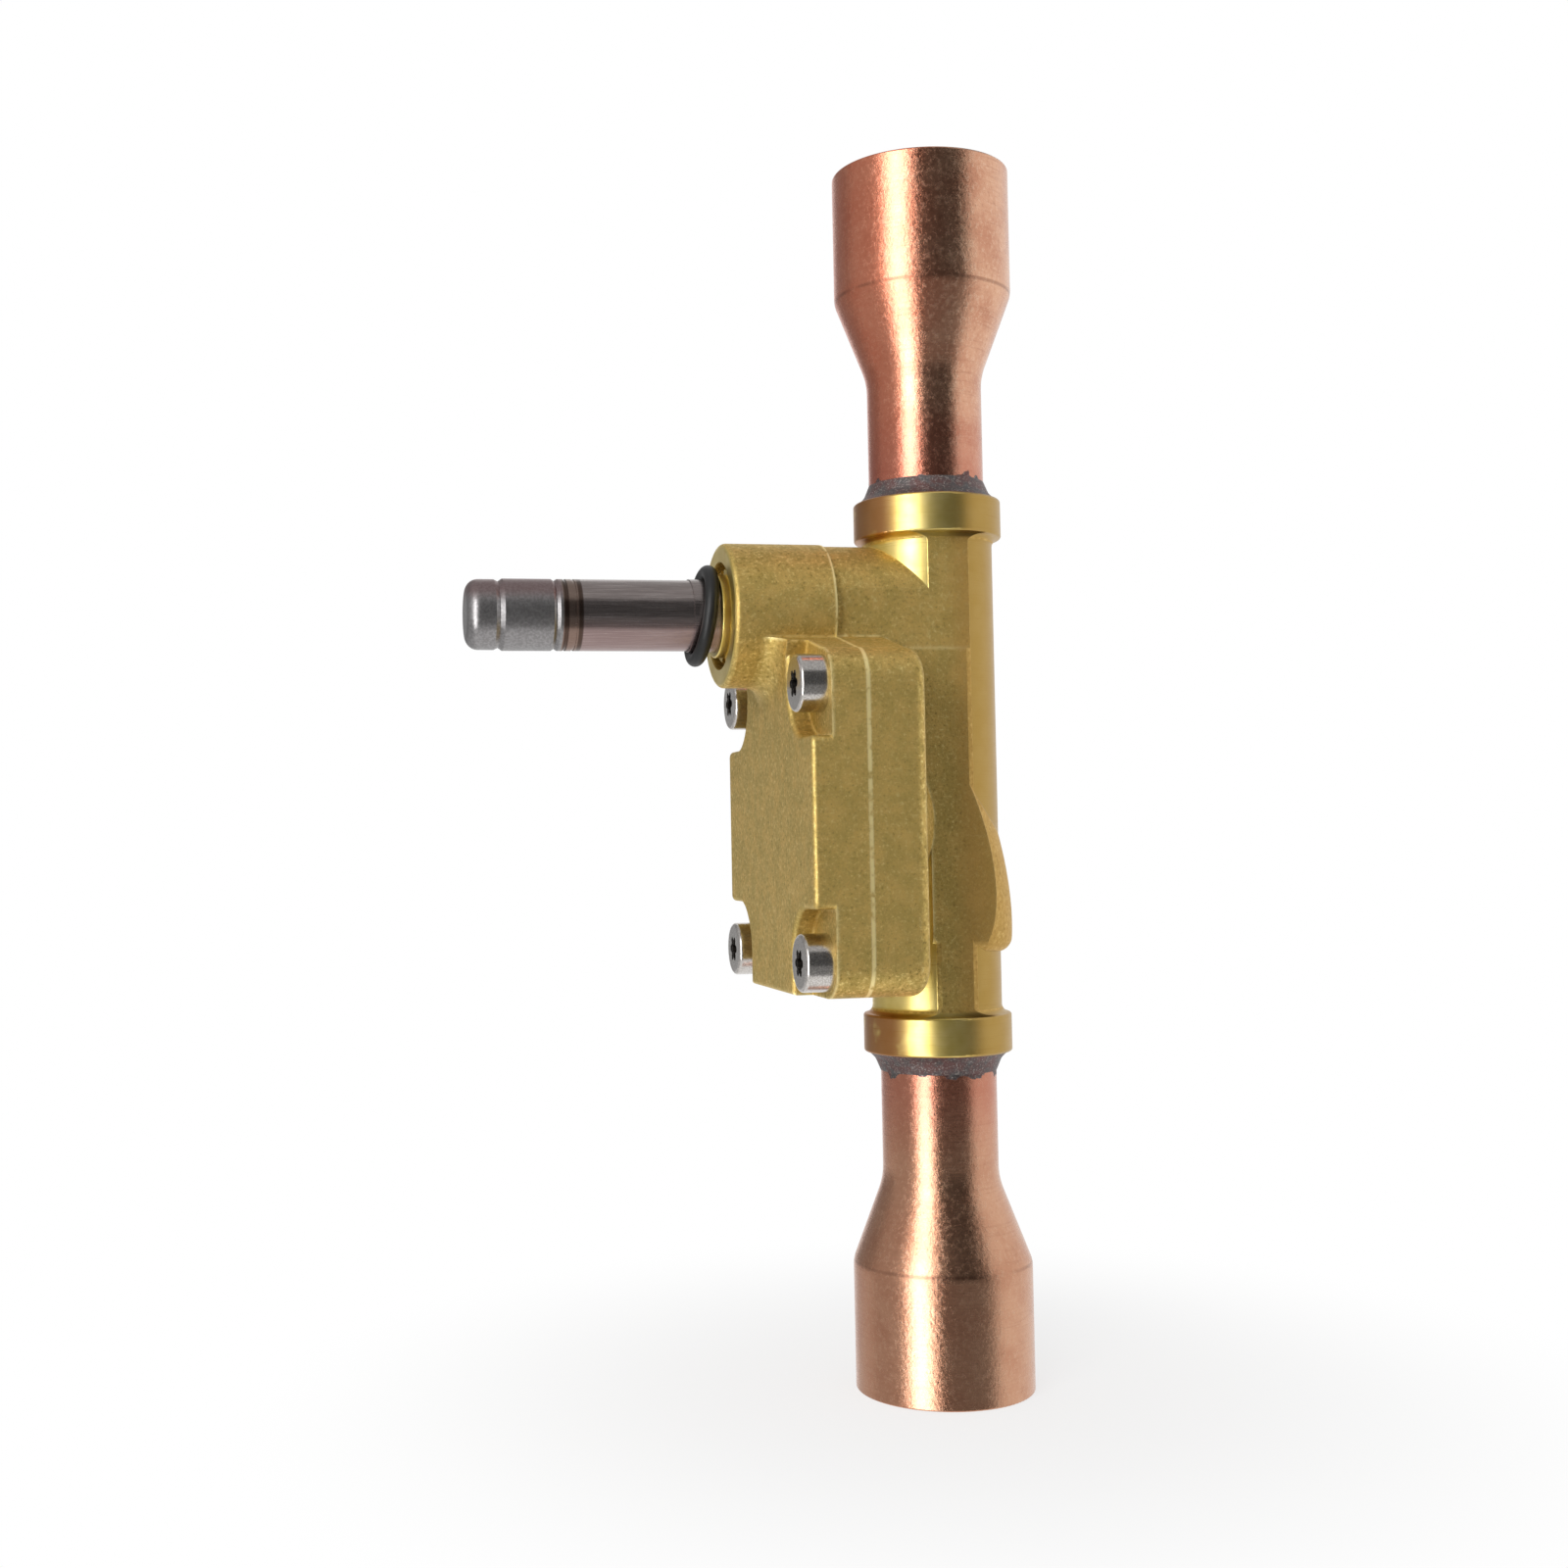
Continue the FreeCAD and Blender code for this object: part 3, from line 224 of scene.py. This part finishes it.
class Finish:
    """One material, with short calls for the nodes that the finishes share."""

    def __init__(self, name, metallic=1.0):
        self.material = bpy.data.materials.new(name)
        self.material.use_nodes = True
        self.nodes = self.material.node_tree.nodes
        self.links = self.material.node_tree.links
        self.shader = self.nodes["Principled BSDF"]
        self.shader.inputs["Metallic"].default_value = metallic
        self.place = self.add("ShaderNodeTexCoord").outputs["Object"]
        axes = self.add("ShaderNodeSeparateXYZ")
        self.feed(axes.inputs[0], self.place)
        self.x, self.y, self.z = axes.outputs

    def add(self, kind, **settings):
        node = self.nodes.new(kind)
        for name, value in settings.items():
            setattr(node, name, value)
        return node

    def feed(self, socket, value):
        if isinstance(value, bpy.types.NodeSocket):
            self.links.new(value, socket)
        else:
            socket.default_value = value

    def calc(self, operation, first, second=0.0):
        node = self.add("ShaderNodeMath", operation=operation)
        self.feed(node.inputs[0], first)
        self.feed(node.inputs[1], second)
        return node.outputs[0]

    def apart(self, value, centre):
        """Distance between a value and a centre."""
        return self.calc("ABSOLUTE", self.calc("SUBTRACT", value, centre))

    def length(self, first, second):
        """Length of the line whose two legs are given."""
        first_square = self.calc("MULTIPLY", first, first)
        second_square = self.calc("MULTIPLY", second, second)
        return self.calc("SQRT", self.calc("ADD", first_square, second_square))

    def reach(self):
        """Distance from the flow line along -X."""
        return self.calc("MULTIPLY", self.x, -1.0)

    def ease(self, value, span):
        """0 before the span's first value, 1 after its second and smooth between them, up or down."""
        start, end = span
        node = self.add("ShaderNodeMapRange", interpolation_type="SMOOTHSTEP")
        self.feed(node.inputs["Value"], value)
        node.inputs["From Min"].default_value = min(start, end)
        node.inputs["From Max"].default_value = max(start, end)
        node.inputs["To Min"].default_value = 0.0 if start < end else 1.0
        node.inputs["To Max"].default_value = 1.0 if start < end else 0.0
        return node.outputs["Result"]

    def grain(self, size, stretch=(1, 1, 1), detail=2.0, roughness=0.5):
        """Noise with blotches about size metres wide, drawn out along an axis by a small stretch."""
        spread = self.add("ShaderNodeVectorMath", operation="MULTIPLY")
        self.feed(spread.inputs[0], self.place)
        spread.inputs[1].default_value = stretch
        node = self.add("ShaderNodeTexNoise")
        self.feed(node.inputs["Vector"], spread.outputs[0])
        node.inputs["Scale"].default_value = 1 / size
        node.inputs["Detail"].default_value = detail
        node.inputs["Roughness"].default_value = roughness
        return node.outputs["Fac"]

    def mix(self, factor, first, second):
        node = self.add("ShaderNodeMix", data_type="RGBA")
        self.feed(node.inputs[0], factor)
        for socket, colour in zip(MIX_COLOURS, (first, second)):
            self.feed(node.inputs[socket], colour)
        return node.outputs[MIX_COLOUR_RESULT]

    def tint(self, base, mask, colour, share):
        """Base with a share of another colour where the mask is 1."""
        return self.mix(self.calc("MULTIPLY", mask, share), base, colour)

    def blend(self, factor, first, second):
        node = self.add("ShaderNodeMix", data_type="FLOAT")
        self.feed(node.inputs[0], factor)
        for socket, number in zip(MIX_NUMBERS, (first, second)):
            self.feed(node.inputs[socket], number)
        return node.outputs[MIX_NUMBER_RESULT]

    def sharp_edges(self, radius):
        """1 along sharp edges and 0 on faces."""
        bevel = self.add("ShaderNodeBevel", samples=6)
        bevel.inputs["Radius"].default_value = radius
        plain = self.add("ShaderNodeNewGeometry")
        dot = self.add("ShaderNodeVectorMath", operation="DOT_PRODUCT")
        self.feed(dot.inputs[0], bevel.outputs[0])
        self.feed(dot.inputs[1], plain.outputs["Normal"])
        return self.ease(dot.outputs["Value"], EDGE_TURN)

    def relief(self, height, depth):
        bump = self.add("ShaderNodeBump")
        bump.inputs["Strength"].default_value = 1.0
        bump.inputs["Distance"].default_value = depth
        self.feed(bump.inputs["Height"], height)
        self.feed(self.shader.inputs["Normal"], bump.outputs[0])

    def done(self, colour, roughness):
        self.feed(self.shader.inputs["Base Color"], colour)
        self.feed(self.shader.inputs["Roughness"], roughness)
        return self.material


def blasted_brass(paint):
    """Colour, roughness and relief of the shot-blasted forging, with bright edges that are partly
    rubbed wear and partly painted highlight, and a painted highlight along the joint line.
    """
    speckle = paint.grain(0.75 * MM, detail=3.0, roughness=0.8)
    patches = paint.grain(3.5 * MM, detail=3.0)
    base = paint.mix(paint.ease(patches, PATCHES), BRASS_DULL, BRASS_CLEAN)
    base = paint.mix(paint.ease(speckle, PALE_SPECKS), base, BRASS_PALE_SPECK)
    base = paint.mix(paint.ease(speckle, DARK_SPECKS), base, BRASS_DARK_SPECK)
    # Painted highlight along the joint between cover and body; on the sharp edges the pale brass is
    # partly rubbed wear and partly painted highlight
    joint = paint.ease(paint.apart(paint.reach(), JOINT_REACH), JOINT_HIGHLIGHT_LINE)
    rub = paint.ease(paint.grain(1.6 * MM), RUBBED_PLACES)
    wear_and_highlight = paint.calc("MULTIPLY", paint.calc("MAXIMUM", paint.sharp_edges(1.1 * MM), joint), rub)
    base = paint.mix(wear_and_highlight, base, BRASS_WORN_AND_HIGHLIGHT)
    rough = paint.blend(paint.ease(speckle, BROAD), *BLASTED_ROUGH)
    rough = paint.blend(wear_and_highlight, rough, WORN_AND_HIGHLIGHT_ROUGH)
    return base, rough, speckle


def turned_brass_parts(paint, axis):
    """Colour, roughness and relief of brass turned about an axis, whose marks run around it."""
    stretch = [0.02, 0.02, 0.02]
    stretch[axis] = 1.0
    lines = paint.grain(0.16 * MM, stretch=tuple(stretch), detail=3.0, roughness=0.7)
    cloud = paint.grain(4 * MM)
    base = paint.mix(paint.ease(cloud, BROAD), TURNED_BRASS, TURNED_BRASS_PALE)
    base = paint.mix(paint.ease(lines, TOOL_MARKS), base, TURNED_BRASS_MARK)
    rough = paint.blend(lines, *TURNED_ROUGH)
    return base, rough, lines


def body_brass():
    """Forged body: blasted faces, turned collars and tube, a warmer belly, and a painted brown
    reflection on the collars' -X end.
    """
    paint = Finish("Body brass")
    cast, cast_rough, speckle = blasted_brass(paint)
    turned, turned_rough, lines = turned_brass_parts(paint, 2)
    collars = paint.ease(paint.apart(paint.z, MIDDLE), COLLARS)
    round_tube = paint.ease(paint.length(paint.x, paint.y), ROUND_TUBE)
    off_flat = paint.ease(paint.calc("ABSOLUTE", paint.y), OFF_FLAT)
    zone = paint.calc("MAXIMUM", collars, paint.calc("MULTIPLY", round_tube, off_flat))
    warm_zone = paint.ease(paint.x, BELLY_SIDE)
    cast = paint.tint(cast, warm_zone, BRASS_WARM, share=0.6)
    turned = paint.tint(turned, warm_zone, TURNED_BRASS_WARM, share=0.85)
    # Painted brown reflection on the collars' -X end, in patches
    collar_reflection = paint.calc("MULTIPLY", collars, paint.ease(paint.x, COLLAR_REFLECTION_SIDE))
    collar_reflection = paint.calc("MULTIPLY", collar_reflection, paint.ease(paint.grain(5 * MM), COLLAR_REFLECTION_PLACES))
    turned = paint.tint(turned, collar_reflection, BRASS_BROWN_REFLECTION, share=0.85)
    height = paint.blend(zone, speckle, paint.calc("MULTIPLY", lines, TURNED_SHARE))
    paint.relief(height, FORGING_DEPTH)
    return paint.done(paint.mix(zone, cast, turned), paint.blend(zone, cast_rough, turned_rough))


def cover_brass():
    """Forged cover, with the turned end of its boss."""
    paint = Finish("Cover brass")
    cast, cast_rough, speckle = blasted_brass(paint)
    turned, turned_rough, lines = turned_brass_parts(paint, 0)
    zone = paint.ease(paint.reach(), BOSS_END)
    height = paint.blend(zone, speckle, paint.calc("MULTIPLY", lines, TURNED_SHARE))
    paint.relief(height, FORGING_DEPTH)
    return paint.done(paint.mix(zone, cast, turned), paint.blend(zone, cast_rough, turned_rough))


def turned_brass():
    paint = Finish("Turned brass")
    colour, rough, lines = turned_brass_parts(paint, 0)
    paint.relief(lines, depth=0.006 * MM)
    return paint.done(colour, rough)


def braze_parts(paint):
    """Colour, roughness and relief of the dull grey braze with purple and brown stains."""
    stain = paint.grain(2.2 * MM, detail=3.0)
    fine = paint.grain(0.4 * MM, detail=3.0, roughness=0.7)
    base = paint.mix(paint.ease(stain, STAINS), BRAZE_GREY, BRAZE_PURPLE)
    base = paint.mix(paint.ease(fine, FINE_MARKS), base, BRAZE_GLINT)
    return base, paint.blend(fine, *BRAZE_ROUGH), fine


def copper_tints(paint, base, rise, cloud):
    """Copper with a painted red reflection on one side, redder at the necks, browner on the lower
    pipe, and a painted shade line at its creased foot.
    """
    upper = paint.ease(paint.z, UPPER_PIPE)
    # Painted red reflection on the copper's -X side, stronger on the upper pipe
    red_reflection_share = paint.calc("MULTIPLY", paint.ease(paint.x, RED_REFLECTION_SIDE), paint.blend(upper, *RED_REFLECTION_SHARES))
    base = paint.mix(red_reflection_share, base, COPPER_RED_REFLECTION)
    base = paint.tint(base, paint.calc("SUBTRACT", 1.0, upper), COPPER_BROWN, share=0.5)
    base = paint.tint(base, paint.ease(rise, HEATED_NECK), COPPER_HEATED, share=0.5)
    # Painted shade: a broken dark line along the crease at the socket's foot
    crease_shade = paint.ease(paint.apart(rise, SOCKET_FOOT), CREASE_SHADE_LINE)
    crease_shade = paint.calc("MULTIPLY", crease_shade, paint.ease(cloud, CREASE_SHADE_PLACES))
    return paint.tint(base, crease_shade, COPPER_CREASE_SHADE, share=0.45)


def copper():
    """Drawn copper with fine marks around it, with the ragged edge and the tint of the braze."""
    paint = Finish("Copper")
    around = paint.grain(0.4 * MM, stretch=(0.05, 0.05, 1.0), detail=4.0, roughness=0.7)
    mottle = paint.grain(0.8 * MM, stretch=(1.0, 1.0, 0.8), detail=5.0, roughness=0.7)
    cloud = paint.grain(7 * MM, detail=3.0)
    rise = paint.apart(paint.z, MIDDLE)
    base = paint.mix(paint.ease(cloud, BROAD), COPPER_DULL, COPPER_CLEAN)
    base = paint.tint(base, paint.ease(mottle, PALE_MOTTLES), COPPER_PALE_MOTTLE, share=0.5)
    base = paint.tint(base, paint.ease(mottle, DARK_MOTTLES), COPPER_DARK_MOTTLE, share=0.4)
    base = paint.tint(base, paint.ease(around, FINE_MARKS), COPPER_MARK, share=0.4)
    base = copper_tints(paint, base, rise, cloud)
    rough = paint.blend(paint.ease(mottle, SOFT_SPOTS), *COPPER_ROUGH)
    ragged = paint.calc("SUBTRACT", paint.grain(4 * MM, detail=3.0), 0.5)
    edge = paint.calc("SUBTRACT", rise, paint.calc("MULTIPLY", ragged, RAGGED_EDGE))
    flow = paint.ease(edge, BRAZE_FLOW)
    braze_colour, braze_rough, fine = braze_parts(paint)
    marks = paint.calc("ADD", around, paint.calc("MULTIPLY", mottle, MOTTLE_HEIGHT))
    height = paint.blend(flow, marks, paint.calc("MULTIPLY", fine, BRAZE_HEIGHT))
    paint.relief(height, depth=0.03 * MM)
    return paint.done(paint.mix(flow, base, braze_colour), paint.blend(flow, rough, braze_rough))


def braze():
    paint = Finish("Braze", metallic=0.8)
    base, rough, fine = braze_parts(paint)
    paint.relief(fine, depth=0.12 * MM)
    return paint.done(base, rough)


def stainless():
    """Drawn and polished armature tube, browned by its weld, with a painted red reflection on its
    underside.
    """
    paint = Finish("Polished stainless")
    drawn = paint.grain(0.25 * MM, stretch=(0.03, 1.0, 1.0), detail=3.0, roughness=0.7)
    base = paint.mix(paint.ease(drawn, DRAWN_MARKS), TUBE_STEEL, TUBE_STEEL_PALE)
    # Painted red reflection on the tube's underside
    base = paint.tint(base, paint.ease(paint.z, TUBE_UNDERSIDE), TUBE_RED_REFLECTION, share=0.45)
    base = paint.tint(base, paint.ease(paint.reach(), WELD_HEAT), WELD_BROWN, share=0.7)
    from_centre = paint.apart(paint.reach(), WELD_CENTRE_REACH)
    weld_edges = paint.ease(paint.apart(from_centre, WELD_HALF_WIDTH), WELD_EDGE)
    base = paint.tint(base, weld_edges, WELD_DARK, share=0.8)
    paint.relief(drawn, depth=0.003 * MM)
    return paint.done(base, paint.blend(drawn, *TUBE_ROUGH))


def core_steel():
    """Turned magnetic stainless with a satin grain, and a painted red reflection on top."""
    paint = Finish("Satin steel")
    around = paint.grain(0.18 * MM, stretch=(1.0, 0.05, 0.05), detail=3.0, roughness=0.7)
    speck = paint.grain(0.5 * MM, detail=3.0)
    base = paint.mix(paint.ease(speck, SOFT_SPOTS), CORE_STEEL, CORE_STEEL_PALE)
    # Painted red reflection on the top of the core steel
    base = paint.tint(base, paint.ease(paint.z, CORE_TOP_SIDE), CORE_RED_REFLECTION, share=0.5)
    paint.relief(around, depth=0.012 * MM)
    return paint.done(base, paint.blend(around, *CORE_ROUGH))


def screw_steel():
    """Bright heads, with painted shade in their drives."""
    paint = Finish("Bright screw steel")
    speck = paint.grain(0.25 * MM, detail=3.0)
    base = paint.mix(paint.ease(speck, SOFT_SPOTS), SCREW_STEEL, SCREW_STEEL_PALE)
    # Painted shade filling the six-lobed drives
    aside = paint.calc("SUBTRACT", paint.calc("ABSOLUTE", paint.y), SCREW_HALF_SPACING)
    above = paint.calc("SUBTRACT", paint.apart(paint.z, SEAT_Z), SCREW_HALF_SPACING)
    near_axis = paint.ease(paint.length(aside, above), DRIVE_WIDTH)
    drive_shade = paint.calc("MULTIPLY", near_axis, paint.ease(paint.reach(), DRIVE_INSIDE))
    base = paint.mix(drive_shade, base, DRIVE_SHADE)
    paint.relief(speck, depth=0.006 * MM)
    return paint.done(base, paint.blend(drive_shade, paint.blend(speck, *SCREW_ROUGH), DRIVE_SHADE_ROUGH))


def spring_steel():
    paint = Finish("Spring steel")
    return paint.done(paint.mix(paint.grain(0.3 * MM), WIRE_STEEL, WIRE_STEEL_PALE), WIRE_ROUGH)


def black_rubber():
    paint = Finish("Black rubber", metallic=0.0)
    dust = paint.grain(0.5 * MM, detail=4.0, roughness=0.7)
    paint.relief(dust, depth=0.02 * MM)
    base = paint.mix(paint.ease(dust, DUST_SPOTS), RUBBER, RUBBER_DUST)
    return paint.done(base, paint.blend(dust, *RUBBER_ROUGH))


def soft_disc():
    paint = Finish("White seal plastic", metallic=0.0)
    return paint.done(paint.mix(paint.grain(2 * MM), PLASTIC, PLASTIC_PALE), PLASTIC_ROUGH)


def diaphragm_sheet():
    paint = Finish("Bronze-filled sheet", metallic=0.0)
    fine = paint.grain(0.6 * MM, detail=3.0)
    return paint.done(paint.mix(fine, SHEET_TAN, SHEET_PALE), SHEET_ROUGH)


def gasket():
    paint = Finish("Soft aluminium")
    return paint.done(paint.mix(paint.grain(0.5 * MM), ALUMINIUM, ALUMINIUM_PALE), GASKET_ROUGH)


def dress():
    """Gives every CAD node its finish."""
    brass = turned_brass()
    red_metal = copper()
    joint = braze()
    iron = core_steel()
    steel = screw_steel()
    wire = spring_steel()
    rubber = black_rubber()
    plastic = soft_disc()
    finishes = {
        "valve_body": body_brass(),
        "cover": cover_brass(),
        "cover_screws": steel,
        "upper_connector": red_metal,
        "lower_connector": red_metal,
        "upper_braze_ring": joint,
        "lower_braze_ring": joint,
        "armature_tube": stainless(),
        "fixed_core": iron,
        "shading_ring": red_metal,
        "tube_nut": brass,
        "tube_seal_ring": rubber,
        "coil_seal_ring": rubber,
        "channel_seal_ring": rubber,
        "pilot_orifice": brass,
        "pilot_orifice_gasket": gasket(),
        "armature": iron,
        "pilot_seal_plate": plastic,
        "armature_spring": wire,
        "diaphragm": diaphragm_sheet(),
        "diaphragm_washer": steel,
        "disc_holder": brass,
        "main_valve_disc": plastic,
        "clamp_stem": brass,
        "clamp_nut": steel,
        "closing_spring": wire,
    }
    for node, finish in finishes.items():
        for slot in frame["nodes"][node].material_slots:
            slot.material = finish


def plane(name, centre, across, along, material):
    """Rectangle with half-edges across and along."""
    centre, across, along = Vector(centre), Vector(across), Vector(along)
    corners = [centre - across - along, centre + across - along]
    corners += [centre + across + along, centre - across + along]
    mesh = bpy.data.meshes.new(name)
    mesh.from_pydata([tuple(corner) for corner in corners], [], [(0, 1, 2, 3)])
    mesh.materials.append(material)
    sheet = bpy.data.objects.new(name, mesh)
    bpy.context.collection.objects.link(sheet)
    return sheet


def floor_material():
    """White paper that keeps the object's shadow and is nearly white to the camera."""
    material = bpy.data.materials.new("Floor")
    material.use_nodes = True
    nodes = material.node_tree.nodes
    links = material.node_tree.links
    shader = nodes["Principled BSDF"]
    shader.inputs["Base Color"].default_value = PAPER
    shader.inputs["Roughness"].default_value = FLOOR_ROUGH
    shader.inputs["Specular IOR Level"].default_value = 0.0
    place = nodes.new("ShaderNodeTexCoord")
    away = nodes.new("ShaderNodeVectorMath")
    away.operation = "LENGTH"
    links.new(place.outputs["Object"], away.inputs[0])
    near = nodes.new("ShaderNodeMapRange")
    near.interpolation_type = "SMOOTHSTEP"
    near.inputs["From Min"].default_value = FLOOR_NEAR
    near.inputs["From Max"].default_value = FLOOR_FAR
    near.inputs["To Min"].default_value = FLOOR_NEAR_SHARE
    links.new(away.outputs["Value"], near.inputs["Value"])
    path = nodes.new("ShaderNodeLightPath")
    share = nodes.new("ShaderNodeMath")
    share.operation = "MULTIPLY"
    links.new(path.outputs["Is Camera Ray"], share.inputs[0])
    links.new(near.outputs["Result"], share.inputs[1])
    glow = nodes.new("ShaderNodeEmission")
    mix = nodes.new("ShaderNodeMixShader")
    links.new(share.outputs[0], mix.inputs[0])
    links.new(shader.outputs[0], mix.inputs[1])
    links.new(glow.outputs[0], mix.inputs[2])
    links.new(mix.outputs[0], nodes["Material Output"].inputs["Surface"])
    return material


def glow_material(name, level):
    """Plain light level that the metal reflects."""
    material = bpy.data.materials.new(name)
    material.use_nodes = True
    nodes = material.node_tree.nodes
    glow = nodes.new("ShaderNodeEmission")
    glow.inputs["Color"].default_value = (level, level, level, 1.0)
    material.node_tree.links.new(glow.outputs[0], nodes["Material Output"].inputs["Surface"])
    return material


def card(name, centre, across, along, level):
    """Studio card that only the metal sees."""
    sheet = plane(name, centre, across, along, glow_material(name, level))
    sheet.visible_camera = False
    sheet.visible_diffuse = False
    sheet.visible_shadow = False
    sheet.visible_transmission = False


def cards():
    """Upright cards around the object, with bearings from -Y towards +X, and a ceiling."""
    for name, bearing, distance, half_width, foot, head, level in CARDS:
        angle = math.radians(bearing)
        centre = Vector((math.sin(angle) * distance, -math.cos(angle) * distance, (foot + head) / 2))
        across = Vector((math.cos(angle), math.sin(angle), 0)) * half_width
        card(name, centre, across, (0, 0, (head - foot) / 2), level)
    card("Ceiling", (0, 0, CEILING_HEIGHT), (CEILING_HALF, 0, 0), (0, CEILING_HALF, 0), CEILING_LEVEL)


def world():
    """Soft even light, white to the camera and to reflections."""
    room = bpy.data.worlds.new("Studio")
    bpy.context.scene.world = room
    room.use_nodes = True
    nodes = room.node_tree.nodes
    links = room.node_tree.links
    back = nodes["Background"]
    back.inputs["Color"].default_value = WHITE
    path = nodes.new("ShaderNodeLightPath")
    seen = path.outputs["Is Camera Ray"]
    for ray in ("Is Glossy Ray", "Is Transmission Ray"):
        either = nodes.new("ShaderNodeMath")
        either.operation = "MAXIMUM"
        links.new(seen, either.inputs[0])
        links.new(path.outputs[ray], either.inputs[1])
        seen = either.outputs[0]
    level = nodes.new("ShaderNodeMapRange")
    links.new(seen, level.inputs["Value"])
    level.inputs["To Min"].default_value = ROOM_LEVEL
    links.new(level.outputs["Result"], back.inputs["Strength"])


def key_lamp():
    """Soft square lamp above the camera's left, which the metal doesn't mirror."""
    data = bpy.data.lights.new("Key", "AREA")
    data.shape = "SQUARE"
    data.size = KEY_SIZE
    data.energy = KEY_POWER
    lamp = bpy.data.objects.new("Key", data)
    lamp.location = KEY_PLACE
    towards = Vector((0, 0, MIDDLE)) - Vector(KEY_PLACE)
    lamp.rotation_euler = towards.to_track_quat("-Z", "Y").to_euler()
    lamp.visible_glossy = False
    bpy.context.collection.objects.link(lamp)


def studio():
    """Pale floor, cards for the metal to mirror, and soft light."""
    world()
    floor = plane("Floor", (0, 0, 0), (FLOOR_HALF, 0, 0), (0, FLOOR_HALF, 0), floor_material())
    floor.visible_glossy = False
    cards()
    key_lamp()


def camera():
    data = bpy.data.cameras.new("Camera")
    data.lens = CAMERA_LENS
    data.shift_x = CAMERA_SHIFT
    eye = bpy.data.objects.new("Camera", data)
    turn = Matrix.Rotation(-CAMERA_YAW, 4, "Z")
    turn = turn @ Matrix.Rotation(math.pi / 2 + CAMERA_PITCH, 4, "X")
    turn = turn @ Matrix.Rotation(CAMERA_ROLL, 4, "Z")
    eye.matrix_world = Matrix.Translation(CAMERA_PLACE) @ turn
    bpy.context.collection.objects.link(eye)
    bpy.context.scene.camera = eye


dress()
studio()
camera()
bpy.context.scene.view_settings.view_transform = "Standard"
